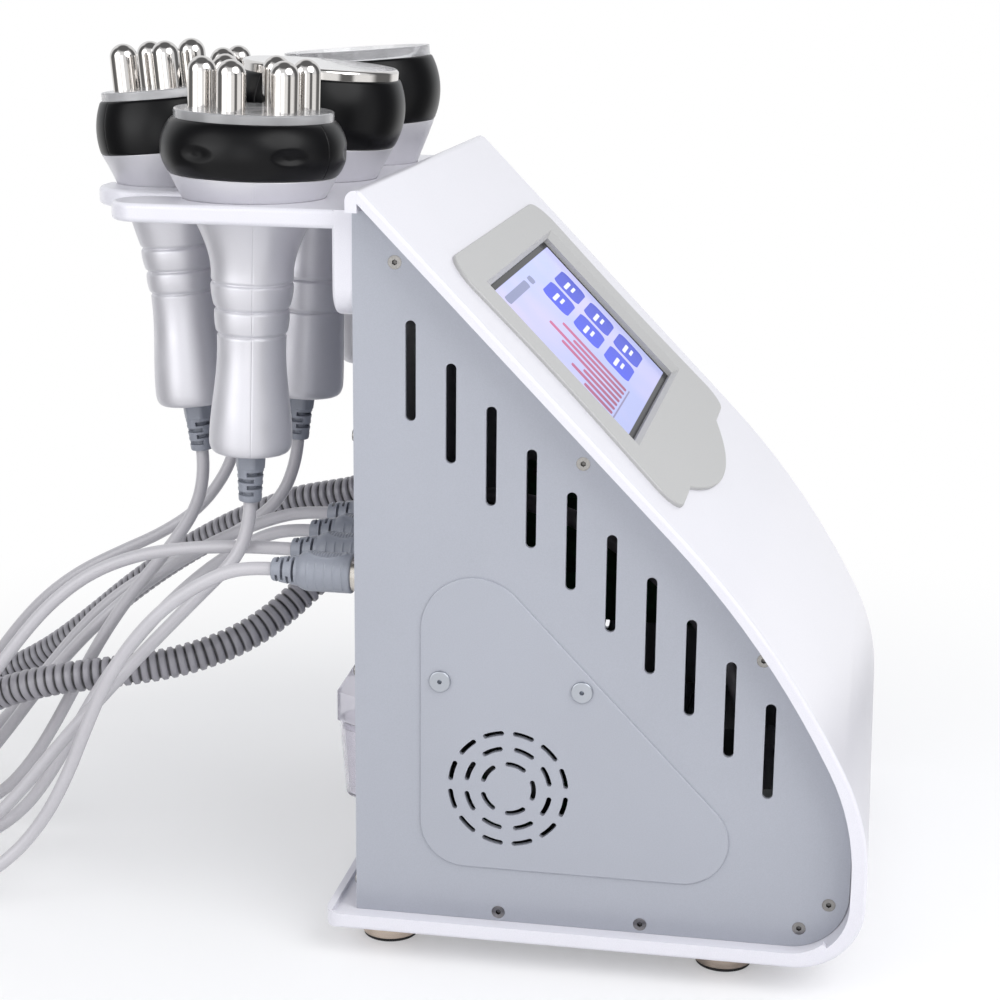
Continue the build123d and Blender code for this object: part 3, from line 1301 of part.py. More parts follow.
def build():
    save("top_shell", top_shell())
    main, main_legs, main_screws = on_standoffs(main_board_frame(), main_board_size)
    generator, generator_legs, generator_screws = on_standoffs(generator_frame(), generator_size)
    save("base_tray", joined(base_tray(), generator_legs))
    panel = side_panel()
    save("side_panel_left", joined(panel, fan_bosses()))
    save("side_panel_right", joined(mirror(panel, Plane.YZ), main_legs))
    save("rear_panel", rear_panel())
    save("panel_screws", *panel_screws())
    save("panel_rivets", *panel_rivets())
    save("screen_bezel", screen_bezel())
    save("display_glass", display_glass())
    save("display_module", display_module())
    save("handpiece_holder", handpiece_holder())
    save("probe_sockets", *[socket(x) for x in plug_xs])
    for k, x in enumerate(plug_xs):
        save(f"plug_{k + 1}", plug(x))
    save("suction_port", suction_port())
    save("filter_head", filter_head())
    save("filter_cup", filter_cup())
    save("mains_inlet", mains_inlet())
    save("power_rocker", power_rocker())
    save("foot_caps", *[foot_cap(x, y) for x, y in foot_places()])
    save("foot_pads", *[foot_pad(x, y) for x, y in foot_places()])
    save("fan_frame", fan_frame())
    save("fan_rotor", fan_rotor())
    save("main_board", main)
    save("generator_board", generator)
    rear = [plane * pan_screw(length) for plane, length in rear_screws()]
    feet = [Pos(x, y, pad_thick + pan_height + pad_thick) * pan_screw(foot_height) for x, y in foot_places()]
    save("pan_head_screws", *rear, *feet, *fan_screws(), *main_screws, *generator_screws)
    save("power_supply", power_supply())
    save("vacuum_pump", vacuum_pump())
    save("air_tube", air_tube())
    for name in handpieces:
        save(f"{name}_grip", grip(name))
        save(f"{name}_band", bulb(name))
    for name in pin_sets:
        save(f"{name}_disk", disk(name))
        save(f"{name}_pins", *pins(name))
        save(f"{name}_relief", strain_relief(name))
    save("flat_probe_plate", head_plate())
    save("flat_probe_relief", strain_relief("flat_probe"))
    save("suction_probe_cup", suction_cup())
    save("suction_probe_cuff", hose_cuff())
    for name in cord_routes:
        save(name, cord(name))
    save("suction_hose", suction_hose())
    print("rear_y", round(rear_y, 3), "ledge", ledge_z, "plate top", plate_top)
    for name in handpieces:
        axis = axis_of(name)
        print(name, "joint at", [round(v, 3) for v in axis.position], "lean", handpieces[name][2])
    print("fan axis", fan_axis(), "rocker", rocker_middle(), "jar", jar_axis().position)


build()
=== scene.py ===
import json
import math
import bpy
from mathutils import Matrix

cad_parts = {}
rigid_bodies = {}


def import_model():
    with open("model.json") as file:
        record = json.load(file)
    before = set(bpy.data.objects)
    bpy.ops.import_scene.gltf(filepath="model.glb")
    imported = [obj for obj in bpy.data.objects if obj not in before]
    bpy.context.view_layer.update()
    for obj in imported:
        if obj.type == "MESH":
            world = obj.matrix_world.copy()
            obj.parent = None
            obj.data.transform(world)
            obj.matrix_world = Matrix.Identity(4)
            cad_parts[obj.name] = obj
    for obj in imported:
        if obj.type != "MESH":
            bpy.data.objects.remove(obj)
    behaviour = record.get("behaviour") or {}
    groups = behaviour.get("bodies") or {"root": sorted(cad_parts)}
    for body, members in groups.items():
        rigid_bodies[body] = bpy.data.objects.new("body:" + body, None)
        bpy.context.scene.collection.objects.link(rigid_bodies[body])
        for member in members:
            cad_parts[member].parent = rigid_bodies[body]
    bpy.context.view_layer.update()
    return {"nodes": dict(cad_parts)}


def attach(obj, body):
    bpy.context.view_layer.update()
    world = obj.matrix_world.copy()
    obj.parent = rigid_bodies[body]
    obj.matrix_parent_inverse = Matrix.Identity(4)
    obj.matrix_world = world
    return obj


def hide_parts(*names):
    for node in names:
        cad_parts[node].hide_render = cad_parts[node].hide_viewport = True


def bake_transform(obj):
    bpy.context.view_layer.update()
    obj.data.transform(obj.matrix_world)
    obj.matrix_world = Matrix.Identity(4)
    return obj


bl_info = {
    "name": "Table-top beauty machine",
    "version": (1, 0, 0),
    "blender": (4, 5, 0),
    "location": "3D view > Sidebar > Machine",
    "description": "Dresses the packed machine, its handpieces, cords and studio",
    "category": "Object",
}

from collections import namedtuple

import bpy
import numpy as np
from mathutils import Matrix, Vector

for left_over in list(bpy.data.objects):
    bpy.data.objects.remove(left_over)
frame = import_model()

# Numbers are in mm and degrees where nothing else is said
MM = 0.001
REAR_Y = 41.817              # the rear panel's face
PLUG_Z = 170.0
PLUG_XS = (-113.4, -80.8, -48.2, -15.6)
SLOPE_TOP = (0.0, 41.817, 344.6)
SLOPE_DOWN = (0.0, -0.7002, -0.7139)
TOWARDS_VIEW = 196.7         # from the handpieces to the camera, seen from above

# Each handpiece: place and lean of the joint of grip and band, then the band's height, widest
# radius, height of that and radius at its top
Handpiece = namedtuple("Handpiece", "joint lean height widest middle top")
HANDPIECES = {
    "body_probe": Handpiece((-86.0, 95.1197, 338.9956), -1.7, 23.4, 40.2, 11.0, 35.2),
    "face_probe": Handpiece((-38.4, 149.3848, 343.9406), 5.1, 23.6, 31.2, 11.5, 28.0),
    "flat_probe": Handpiece((0.0, 89.9418, 345.9521), -4.3, 31.0, 40.4, 14.0, 37.2),
    "suction_probe": Handpiece((84.0, 88.2677, 347.8516), 4.1, 31.8, 40.4, 14.5, 37.2),
    "eye_probe": Handpiece((38.4, 148.5399, 343.9909), 2.0, 23.6, 31.2, 11.5, 28.0),
}
# Each kind of grip: heights over its lower end, from the foot's edge, the waist and the shoulder to
# the top, the radii there, the lower end's radius, how far below the shoulder the grooves are, and
# how much the grip widens per mm at the shoulder
Grip = namedtuple("Grip", "levels radii end drops slope")
LONG_GRIP = Grip((5.0, 40.0, 76.9, 101.5, 113.0, 123.0), (18.4, 15.3, 18.15, 24.7, 31.0, 36.3),
                 15.5, (0.6, 12.3, 23.5), 0.18)
SLIM_GRIP = Grip((5.0, 42.0, 74.3, 88.0, 102.5, 117.5), (18.4, 15.5, 17.4, 20.6, 24.2, 30.2),
                 15.5, (0.6, 11.4, 21.7), 0.14)
WIDE_GRIP = Grip((5.0, 28.0, 57.3, 92.6, 105.6, 120.6), (20.0, 18.9, 18.4, 23.0, 29.2, 36.35),
                 17.2, (0.0, 15.4), 0.05)
GRIPS = {"body_probe": LONG_GRIP, "face_probe": SLIM_GRIP, "flat_probe": WIDE_GRIP,
         "suction_probe": WIDE_GRIP, "eye_probe": SLIM_GRIP}
GROOVE_SIZE = 0.75           # depth and half width of a grip's grooves
RING_SWELL = 0.75            # of the grip between two grooves
GRIP_EDGE, BAND_EDGE = 0.5, 0.9        # radii of their rounded edges
CUP_BORE = 30.7              # of the suction handpiece's band, round its cup

# Where the parting line of each grip is, from the side that faces the camera, how far on that of
# its band is, and how deep both are
SEAM_TURNS = {"body_probe": 0.0, "face_probe": 70.0, "flat_probe": 80.0, "suction_probe": 60.0,
              "eye_probe": 75.0}
BAND_SEAM_TURN = 52.0
GRIP_SEAM_DEPTH, BAND_SEAM_DEPTH = 0.14, 0.22

# The body probe's dimples: how many, where the first one is from the side that faces the camera, how
# high they are, half their width and height, and where in that their slope begins and how wide it is
DIMPLES, DIMPLE_TURN, DIMPLE_LEVEL = 6, -37.5, 10.6
DIMPLE_HALF_WIDTH, DIMPLE_HALF_HEIGHT = 8.2, 3.4
DIMPLE_BRIM, DIMPLE_SLOPE = 1.08, 0.72

# Which cord joins which handpiece, where its length bends as that is lifted
CORD_BENDS = {
    "body_probe_cord": ("body_probe", (-113.6, 95.0, 169.4)),
    "face_probe_cord": ("face_probe", (-49.6, 111.5, 162.3)),
    "flat_probe_cord": ("flat_probe", (-16.0, 95.2, 169.5)),
    "eye_probe_cord": ("eye_probe", (-44.0, 147.7, 131.6)),
    "suction_hose": ("suction_probe", (14.3, 81.4, 156.4)),
}

# Control points of each cord's own line, handpiece first, in metres
ROUTES = {
    "body_probe_cord": (
        (-0.0860, 0.0995, 0.1931), (-0.0860, 0.0998, 0.1821), (-0.0884, 0.1055, 0.1665),
        (-0.0910, 0.1180, 0.1535), (-0.0935, 0.1332, 0.1376), (-0.0953, 0.1495, 0.1203),
        (-0.0961, 0.1700, 0.0975), (-0.0969, 0.1923, 0.0717), (-0.0974, 0.2086, 0.0511),
        (-0.0982, 0.2264, 0.0319), (-0.0991, 0.2475, 0.0164), (-0.0997, 0.2719, 0.0071),
        (-0.0993, 0.2979, 0.0037), (-0.0987, 0.3241, 0.0031), (-0.1022, 0.3500, 0.0032),
        (-0.1186, 0.3695, 0.0032), (-0.1441, 0.3710, 0.0032), (-0.1622, 0.3530, 0.0032),
        (-0.1662, 0.3274, 0.0032), (-0.1580, 0.3027, 0.0031), (-0.1454, 0.2796, 0.0031),
        (-0.1330, 0.2565, 0.0033), (-0.1221, 0.2331, 0.0076), (-0.1144, 0.2117, 0.0203),
        (-0.1106, 0.1949, 0.0399), (-0.1099, 0.1824, 0.0629), (-0.1110, 0.1722, 0.0871),
        (-0.1125, 0.1613, 0.1109), (-0.1135, 0.1470, 0.1329), (-0.1137, 0.1289, 0.1518),
        (-0.1135, 0.1069, 0.1659), (-0.1134, 0.0925, 0.1700), (-0.1134, 0.0815, 0.1700),
    ),
    "face_probe_cord": (
        (-0.0384, 0.1369, 0.2040), (-0.0384, 0.1359, 0.1930), (-0.0388, 0.1406, 0.1740),
        (-0.0400, 0.1552, 0.1534), (-0.0413, 0.1719, 0.1332), (-0.0423, 0.1865, 0.1123),
        (-0.0432, 0.1992, 0.0901), (-0.0437, 0.2112, 0.0675), (-0.0436, 0.2245, 0.0456),
        (-0.0417, 0.2408, 0.0261), (-0.0362, 0.2612, 0.0119), (-0.0271, 0.2840, 0.0049),
        (-0.0171, 0.3074, 0.0032), (-0.0118, 0.3323, 0.0032), (-0.0202, 0.3559, 0.0032),
        (-0.0422, 0.3677, 0.0032), (-0.0655, 0.3596, 0.0032), (-0.0759, 0.3368, 0.0032),
        (-0.0751, 0.3113, 0.0031), (-0.0724, 0.2858, 0.0034), (-0.0717, 0.2605, 0.0064),
        (-0.0731, 0.2367, 0.0155), (-0.0748, 0.2172, 0.0318), (-0.0757, 0.2024, 0.0526),
        (-0.0752, 0.1901, 0.0750), (-0.0729, 0.1773, 0.0970), (-0.0687, 0.1625, 0.1174),
        (-0.0628, 0.1460, 0.1361), (-0.0562, 0.1277, 0.1526), (-0.0502, 0.1067, 0.1658),
        (-0.0482, 0.0925, 0.1700), (-0.0482, 0.0815, 0.1700),
    ),
    "flat_probe_cord": (
        (0.0000, 0.1007, 0.2028), (0.0000, 0.1015, 0.1918), (-0.0008, 0.1097, 0.1712),
        (-0.0032, 0.1299, 0.1551), (-0.0055, 0.1531, 0.1435), (-0.0073, 0.1762, 0.1315),
        (-0.0083, 0.1974, 0.1163), (-0.0086, 0.2156, 0.0976), (-0.0082, 0.2321, 0.0773),
        (-0.0065, 0.2488, 0.0573), (-0.0030, 0.2668, 0.0388), (0.0026, 0.2865, 0.0226),
        (0.0106, 0.3079, 0.0102), (0.0206, 0.3310, 0.0036), (0.0317, 0.3546, 0.0031),
        (0.0416, 0.3787, 0.0031), (0.0464, 0.4043, 0.0032), (0.0369, 0.4278, 0.0032),
        (0.0131, 0.4368, 0.0032), (-0.0101, 0.4265, 0.0032), (-0.0182, 0.4024, 0.0032),
        (-0.0120, 0.3772, 0.0031), (-0.0039, 0.3524, 0.0031), (-0.0040, 0.3265, 0.0033),
        (-0.0117, 0.3019, 0.0071), (-0.0212, 0.2797, 0.0168), (-0.0282, 0.2606, 0.0330),
        (-0.0311, 0.2441, 0.0530), (-0.0316, 0.2284, 0.0738), (-0.0315, 0.2119, 0.0940),
        (-0.0311, 0.1939, 0.1130), (-0.0300, 0.1744, 0.1303), (-0.0272, 0.1533, 0.1453),
        (-0.0225, 0.1309, 0.1579), (-0.0174, 0.1071, 0.1672), (-0.0156, 0.0925, 0.1700),
        (-0.0156, 0.0815, 0.1700),
    ),
    "eye_probe_cord": (
        (0.0384, 0.1436, 0.2036), (0.0384, 0.1433, 0.1926), (0.0385, 0.1488, 0.1747),
        (0.0388, 0.1639, 0.1541), (0.0389, 0.1850, 0.1395), (0.0390, 0.2082, 0.1283),
        (0.0392, 0.2309, 0.1163), (0.0399, 0.2512, 0.1006), (0.0411, 0.2686, 0.0816),
        (0.0433, 0.2841, 0.0612), (0.0470, 0.2993, 0.0408), (0.0534, 0.3160, 0.0223),
        (0.0630, 0.3358, 0.0092), (0.0733, 0.3586, 0.0037), (0.0797, 0.3834, 0.0031),
        (0.0799, 0.4091, 0.0031), (0.0735, 0.4339, 0.0032), (0.0594, 0.4552, 0.0032),
        (0.0387, 0.4702, 0.0032), (0.0143, 0.4782, 0.0032), (-0.0113, 0.4791, 0.0032),
        (-0.0367, 0.4749, 0.0032), (-0.0605, 0.4653, 0.0032), (-0.0791, 0.4479, 0.0032),
        (-0.0888, 0.4243, 0.0032), (-0.0907, 0.3987, 0.0031), (-0.0890, 0.3730, 0.0031),
        (-0.0872, 0.3473, 0.0031), (-0.0862, 0.3217, 0.0052), (-0.0851, 0.2985, 0.0157),
        (-0.0831, 0.2798, 0.0332), (-0.0808, 0.2637, 0.0531), (-0.0789, 0.2484, 0.0737),
        (-0.0774, 0.2332, 0.0945), (-0.0762, 0.2180, 0.1152), (-0.0747, 0.2014, 0.1347),
        (-0.0734, 0.1813, 0.1507), (-0.0737, 0.1578, 0.1608), (-0.0762, 0.1328, 0.1664),
        (-0.0795, 0.1074, 0.1693), (-0.0808, 0.0925, 0.1700), (-0.0808, 0.0815, 0.1700),
    ),
    "suction_hose": (
        (0.0840, 0.0779, 0.2036), (0.0840, 0.0771, 0.1917), (0.0843, 0.0776, 0.1720),
        (0.0855, 0.0880, 0.1570), (0.0880, 0.1070, 0.1525), (0.0910, 0.1280, 0.1472),
        (0.0930, 0.1460, 0.1390), (0.0965, 0.1660, 0.1295), (0.1008, 0.1955, 0.1113),
        (0.1045, 0.2238, 0.0906), (0.1079, 0.2503, 0.0677), (0.1105, 0.2779, 0.0460),
        (0.1110, 0.3087, 0.0291), (0.1068, 0.3422, 0.0196), (0.0921, 0.3737, 0.0171),
        (0.0635, 0.3935, 0.0166), (0.0289, 0.3984, 0.0156), (-0.0041, 0.3872, 0.0151),
        (-0.0292, 0.3629, 0.0161), (-0.0449, 0.3323, 0.0228), (-0.0535, 0.3022, 0.0387),
        (-0.0583, 0.2745, 0.0599), (-0.0611, 0.2452, 0.0791), (-0.0613, 0.2123, 0.0913),
        (-0.0573, 0.1778, 0.0967), (-0.0472, 0.1444, 0.1012), (-0.0293, 0.1160, 0.1110),
        (-0.0071, 0.0950, 0.1283), (0.0060, 0.0782, 0.1489), (0.0060, 0.0628, 0.1673),
    ),
}
# The pump's inner tube, from its outlet to the port
AIR_ROUTE = (
    (-0.0750, -0.1279, 0.0720), (-0.0750, -0.1279, 0.0920), (-0.0707, -0.1197, 0.1203),
    (-0.0583, -0.0998, 0.1451), (-0.0404, -0.0753, 0.1609), (-0.0203, -0.0492, 0.1707),
    (-0.0022, -0.0206, 0.1762), (0.0060, 0.0078, 0.1780), (0.0060, 0.0278, 0.1780),
)


def colour(code):
    """A linear colour from a written one such as 'c0c4cc'."""
    parts = [int(code[k:k + 2], 16) / 255 for k in (0, 2, 4)]
    return tuple(p / 12.92 if p <= 0.04045 else ((p + 0.055) / 1.055) ** 2.4 for p in parts)


def colour_field(name, code, description):
    return bpy.props.FloatVectorProperty(name=name, description=description, subtype="COLOR",
                                         size=3, min=0, max=1, default=colour(code))


def length_field(name, millimetres, description):
    return bpy.props.FloatProperty(name=name, description=description, unit="LENGTH",
                                   default=millimetres * MM, min=0)


class MachineFinish(bpy.types.PropertyGroup):
    shell: colour_field("Shell", "e0dfe6", "White moulded shell, tray and holder")
    panel: colour_field("Side panels", "a9acb5", "Powder coat of the metal panels")
    bezel: colour_field("Bezel", "b4b4b3", "Warm gray of the screen's bezel")
    grip: colour_field("Grips", "d5d4d9", "Pearl silver of the handpieces")
    band: colour_field("Bands", "08080a", "Satin black of the bands")
    boot: colour_field("Plugs and boots", "8f939d", "Gray of the plugs and strain reliefs")
    cord: colour_field("Cords", "c0bec2", "Pale gray of the round cords")
    hose: colour_field("Hose", "9a989e", "Gray of the ribbed hose")
    ground: colour_field("Screen ground", "b9c2f6", "Lit ground of the screen")
    tile: colour_field("Screen tiles", "2f47e2", "Blue of the screen's tiles")
    chart: colour_field("Screen chart", "b0527f", "Plum of the screen's chart")


class MachineSizes(bpy.types.PropertyGroup):
    cord: length_field("Cord diameter", 6.0, "Outside diameter of the four cords")
    hose: length_field("Hose diameter", 15.2, "Over the crests of the hose's ribs")
    rib_depth: length_field("Rib depth", 1.3, "From crest to root of the hose")
    rib_pitch: length_field("Rib pitch", 4.45, "From rib to rib of the hose")
    air_tube: length_field("Air tube diameter", 8.4, "Of the tube from pump to port")
    seam: length_field("Parting line", 0.5, "Width of the moulds' parting lines")
    dimple: length_field("Dimple depth", 1.2, "Of the oval dimples in the black band")


class MachineStudio(bpy.types.PropertyGroup):
    floor: colour_field("Floor", "f8f8f9", "Pale floor near the machine")
    key: bpy.props.FloatProperty(name="Key light", description="Strength of the large soft lamp",
                                 unit="POWER", default=13.0, min=0)
    fill: bpy.props.FloatProperty(name="Fill light", description="Strength of the lamp behind",
                                  unit="POWER", default=4.0, min=0)
    sky: bpy.props.FloatProperty(name="Sky", description="Strength of the even light all round",
                                 default=0.78, min=0)


SETTINGS = {"machine_finish": MachineFinish, "machine_sizes": MachineSizes, "machine_studio": MachineStudio}


def settings():
    """The scene's colours, sizes and studio."""
    return [getattr(bpy.context.scene, name) for name in SETTINGS]


# Node helpers

def add(tree, kind, inputs=None, **attributes):
    """Adds a node, sets its attributes and then its inputs by name or number."""
    node = tree.nodes.new(kind)
    for key, value in attributes.items():
        setattr(node, key, value)
    for key, value in (inputs or {}).items():
        if isinstance(value, bpy.types.NodeSocket):
            tree.links.new(value, node.inputs[key])
        else:
            node.inputs[key].default_value = value
    return node


def maths(tree, operation, result, *others):
    """One Math node, or a chain of them where more than two values are given."""
    for other in [{1: value} for value in others] or [{}]:
        result = add(tree, "ShaderNodeMath", {0: result, **other}, operation=operation).outputs[0]
    return result


def vectors(tree, operation, *values):
    """One Vector Math node, whose result is a number for a length or a dot product."""
    outputs = add(tree, "ShaderNodeVectorMath", dict(enumerate(values)), operation=operation).outputs
    return outputs["Value" if operation in ("LENGTH", "DOT_PRODUCT") else "Vector"]


def blended(tree, share, low, high):
    """A colour between two others."""
    low, high = [(*c, 1) if isinstance(c, tuple) else c for c in (low, high)]
    return add(tree, "ShaderNodeMix", {0: share, 6: low, 7: high}, data_type="RGBA").outputs[2]


def either(tree, share, first, second):
    """One shader where the share is 0 and another where it is 1."""
    return add(tree, "ShaderNodeMixShader", {0: share, 1: first, 2: second}).outputs[0]


def ranged(tree, value, start, end, low=0.0, high=1.0, kind="LINEAR"):
    """Low where the value is at its start, high where it is at its end, and between them else."""
    return add(tree, "ShaderNodeMapRange", {0: value, 1: start, 2: end, 3: low, 4: high},
               interpolation_type=kind).outputs[0]


def noise(tree, place, scale, detail=2.0):
    return add(tree, "ShaderNodeTexNoise", {"Vector": place, "Scale": scale, "Detail": detail}).outputs[0]


def scaled(rgb, factor):
    return tuple(min(1.0, c * factor) for c in rgb)


# Materials: scales of a noise are per metre, and depths and reaches are in metres

NOISE_REACH = (0.3, 0.7)     # values of a noise between which it takes effect
RING_STRETCH = 60            # how much longer than wide the lines of turned metal are
SHADER = "Principled BSDF"


def started(name, coat=None, **shader_inputs):
    """A new material, its nodes and the object's coordinates. Its even values, such as a coat's
    weight and roughness, are set on the shader's own sockets."""
    material = bpy.data.materials.new(name)
    material.use_nodes = True
    tree = material.node_tree
    if coat:
        shader_inputs.update(Coat_Weight=coat[0], Coat_Roughness=coat[1])
    for key, value in shader_inputs.items():
        tree.nodes[SHADER].inputs[key.replace("_", " ")].default_value = value
    return material, tree, add(tree, "ShaderNodeTexCoord").outputs["Object"]


def drifting(tree, value, rgb, dark, light):
    """A colour that goes from a darker to a lighter share of itself with a noise."""
    return blended(tree, ranged(tree, value, *NOISE_REACH), scaled(rgb, dark), scaled(rgb, light))


def covered(material, tint, value, rough, height=None, depth=0.0):
    """Gives a material its colour, a roughness that goes between two values with a noise, and a
    bump where it has a depth."""
    tree = material.node_tree
    inputs = tree.nodes[SHADER].inputs
    tree.links.new(tint, inputs["Base Color"])
    tree.links.new(ranged(tree, value, *NOISE_REACH, *rough), inputs["Roughness"])
    if depth:
        bump = add(tree, "ShaderNodeBump", {"Height": height, "Distance": depth, "Strength": 1.0})
        tree.links.new(bump.outputs[0], inputs["Normal"])
    return material


def textured(name, rgb, rough, grain, depth, cloud=9.0, spread=0.05, **shader_inputs):
    """Colour that drifts a little, roughness with it, and a fine grain in the surface."""
    material, tree, place = started(name, **shader_inputs)
    drift = noise(tree, place, cloud, 3.0)
    fine = noise(tree, place, grain, 4.0)
    tint = drifting(tree, drift, rgb, 1 - spread, 1 + spread)
    speck = ranged(tree, fine, 0.35, 0.65, 0.97, 1.03)
    tint = add(tree, "ShaderNodeVectorMath", {0: tint, 3: speck}, operation="SCALE").outputs[0]
    return covered(material, tint, drift, (rough * 0.94, rough * 1.06), fine, depth)


def turned_metal(name, rgb, rough, axis, rings, depth):
    """Metal turned or drawn along one axis: fine lines across it."""
    material, tree, place = started(name, Metallic=1.0)
    scale = [rings if k == axis else rings / RING_STRETCH for k in range(3)]
    stretched = add(tree, "ShaderNodeMapping", {"Vector": place, "Scale": scale}).outputs[0]
    lines = noise(tree, stretched, 1.0, 3.0)
    tint = drifting(tree, lines, rgb, 0.92, 1.05)
    return covered(material, tint, noise(tree, place, 40.0), (rough * 0.8, rough * 1.25), lines, depth)


def polished_metal(name, rgb, rough, grain, **shader_inputs):
    """Polished or pearly metal: a fine speck in its colour and a slow drift in its roughness."""
    material, tree, place = started(name, **shader_inputs)
    tint = drifting(tree, noise(tree, place, grain), rgb, 0.97, 1.03)
    return covered(material, tint, noise(tree, place, 60.0), (rough * 0.85, rough * 1.15))


def metal_with_painted_crevice_shade(name, rgb, rough, reach):
    """Turned metal with painted shade: ambient occlusion darkens its colour in its sockets and gaps."""
    material, tree, place = started(name, Metallic=1.0)
    occlusion_for_painted_shade = add(tree, "ShaderNodeAmbientOcclusion", {"Distance": reach}, samples=8).outputs["AO"]
    cloud = noise(tree, place, 900.0)
    bright = drifting(tree, cloud, rgb, 0.9, 1.06)
    # painted shade: the colour falls to 6% of itself where the occlusion finds sockets and gaps
    tint = blended(tree, ranged(tree, occlusion_for_painted_shade, 0.35, 0.85), scaled(rgb, 0.06), bright)
    return covered(material, tint, cloud, (rough * 0.8, rough * 1.25))


def clear_plastic(name, rgb, rough, share, grain, bend=1.47):
    """Frosted or clear plastic with faint flow marks: how much light goes through, and its bend."""
    material, tree, place = started(name, (0.3, 0.08), IOR=bend, Transmission_Weight=share)
    flow = noise(tree, place, grain, 3.0)
    tint = drifting(tree, flow, rgb, 0.95, 1.04)
    return covered(material, tint, flow, (rough * 0.7, rough * 1.3), flow, 0.00002)


def hose_plastic_with_painted_groove_shade(name, rgb):
    """The hose's plastic, with painted shade: its colour goes dark in the grooves between its ribs."""
    material, tree, place = started(name, (0.25, 0.25))
    drift = noise(tree, place, 60.0)
    groove = add(tree, "ShaderNodeAttribute", attribute_name="groove").outputs["Fac"]
    crest = drifting(tree, drift, rgb, 0.93, 1.05)
    # painted shade: the colour falls to 7% of itself in the grooves between the ribs
    tint = blended(tree, ranged(tree, groove, 0.5, 0.95), crest, scaled(rgb, 0.07))
    return covered(material, tint, drift, (0.3, 0.42), noise(tree, place, 2500.0), 0.00001)


# What gloss mirrors of the studio: the middle and half width, round the machine, of its dark screens
# and soft lamps, the rise of a direction at which the ceiling's dark begins and is full, that of the
# lamps' middle, how far from it they end and are full, and how bright the dark and the lamps are
DARK_SCREENS = ((-128.0, 12.0), (98.0, 26.0), (-60.0, 24.0))
SOFT_LAMPS = ((143.0, 20.0), (-178.0, 14.0))
CEILING_RISE = (0.7, 0.9)
LAMP_RISE, LAMP_FADE = 0.05, (0.45, 0.15)
DARK_SHARE, LAMP_STRENGTH = 0.16, 1.2


def mirrored_studio(tree, place, sky):
    """The light that gloss meets in a direction from the machine: pale all round, with dark
    screens, a dark ceiling, and soft lamps near the machine's own height."""
    parts = add(tree, "ShaderNodeSeparateXYZ", {0: vectors(tree, "NORMALIZE", place)}).outputs
    turn = maths(tree, "ARCTAN2", parts[1], parts[0])

    def beside(middle, outer, inner):
        away = maths(tree, "SUBTRACT", turn, math.radians(middle))
        away = maths(tree, "ARCTAN2", maths(tree, "SINE", away), maths(tree, "COSINE", away))
        return ranged(tree, maths(tree, "ABSOLUTE", away), math.radians(outer), math.radians(inner),
                      kind="SMOOTHSTEP")

    shade = ranged(tree, parts[2], *CEILING_RISE, kind="SMOOTHSTEP")
    for middle, half in DARK_SCREENS:
        shade = maths(tree, "MAXIMUM", beside(middle, half * 1.25, half * 0.55), shade)
    shine = 0.0
    for middle, half in SOFT_LAMPS:
        shine = maths(tree, "MAXIMUM", beside(middle, half * 1.3, half * 0.3), shine)
    level = maths(tree, "ABSOLUTE", maths(tree, "SUBTRACT", parts[2], LAMP_RISE))
    shine = maths(tree, "MULTIPLY", shine, ranged(tree, level, *LAMP_FADE, kind="SMOOTHSTEP"))
    return maths(tree, "ADD", ranged(tree, shade, 0.0, 1.0, sky, sky * DARK_SHARE),
                 ranged(tree, shine, 0.0, 1.0, 0.0, LAMP_STRENGTH))


# The lit screen, across from its middle and down from the slope's top: its own middle, half sizes
# and corner, and each field's middle, half width, half height, corner and colour
SCREEN_MIDDLE, SCREEN_HALF, SCREEN_CORNER = 117.5, (77.0, 43.0), 0.6
TILE_PLACES = [(x, v) for v in (97.0, 118.0, 139.0) for x in (16.0, 51.0)]
SCREEN_FIELDS = (
    [(-38.0, 81.5, 27.0, 2.2, 2.2, "title"), (-1.0, 81.5, 5.0, 2.2, 2.2, "title")]
    + [(x, v, 15.2, 8.6, 4.5, "tile") for x, v in TILE_PLACES]
    + [(x - 2.0, v - 1.6, 8.0, 1.0, 1.0, "mark") for x, v in TILE_PLACES]
    + [(x + 1.0, v + 2.0, 5.5, 0.8, 0.8, "mark") for x, v in TILE_PLACES]
    + [(-39.0, 150.5, 30.0, 0.4, 0.4, "axis")]
    + [(-64.0 + 8.4 * k, 149.0 - tall, 2.5, tall, 1.2, "chart")
       for k, tall in enumerate((9.0, 14.0, 11.0, 19.0, 24.0, 17.0, 21.5))]
)
FIELD_EDGE = 0.15            # half the width over which a field's edge fades
GLOW, UNLIT_DIM = 0.92, 0.93  # the picture's light, and how far its unlit colour is dimmed


def rounded_field_group():
    """A node group whose output is 1 inside a rounded rectangle and 0 outside."""
    group = bpy.data.node_groups.new("rounded_field", "ShaderNodeTree")
    for name in ("Across", "Down", "Middle Across", "Middle Down", "Half Width", "Half Height", "Corner"):
        group.interface.new_socket(name, in_out="INPUT", socket_type="NodeSocketFloat")
    group.interface.new_socket("Inside", in_out="OUTPUT", socket_type="NodeSocketFloat")
    given = add(group, "NodeGroupInput").outputs
    reach = []
    for place, half in (("Across", "Half Width"), ("Down", "Half Height")):
        offset = maths(group, "SUBTRACT", given[place], given["Middle " + place])
        offset = maths(group, "ABSOLUTE", offset)
        inner = maths(group, "SUBTRACT", given[half], given["Corner"])
        reach.append(maths(group, "MAXIMUM", maths(group, "SUBTRACT", offset, inner), 0.0))
    squares = [maths(group, "MULTIPLY", r, r) for r in reach]
    distance = maths(group, "SQRT", maths(group, "ADD", *squares))
    edge = maths(group, "SUBTRACT", distance, given["Corner"])
    inside = ranged(group, edge, FIELD_EDGE, -FIELD_EDGE)
    group.links.new(inside, add(group, "NodeGroupOutput").inputs[0])
    return group


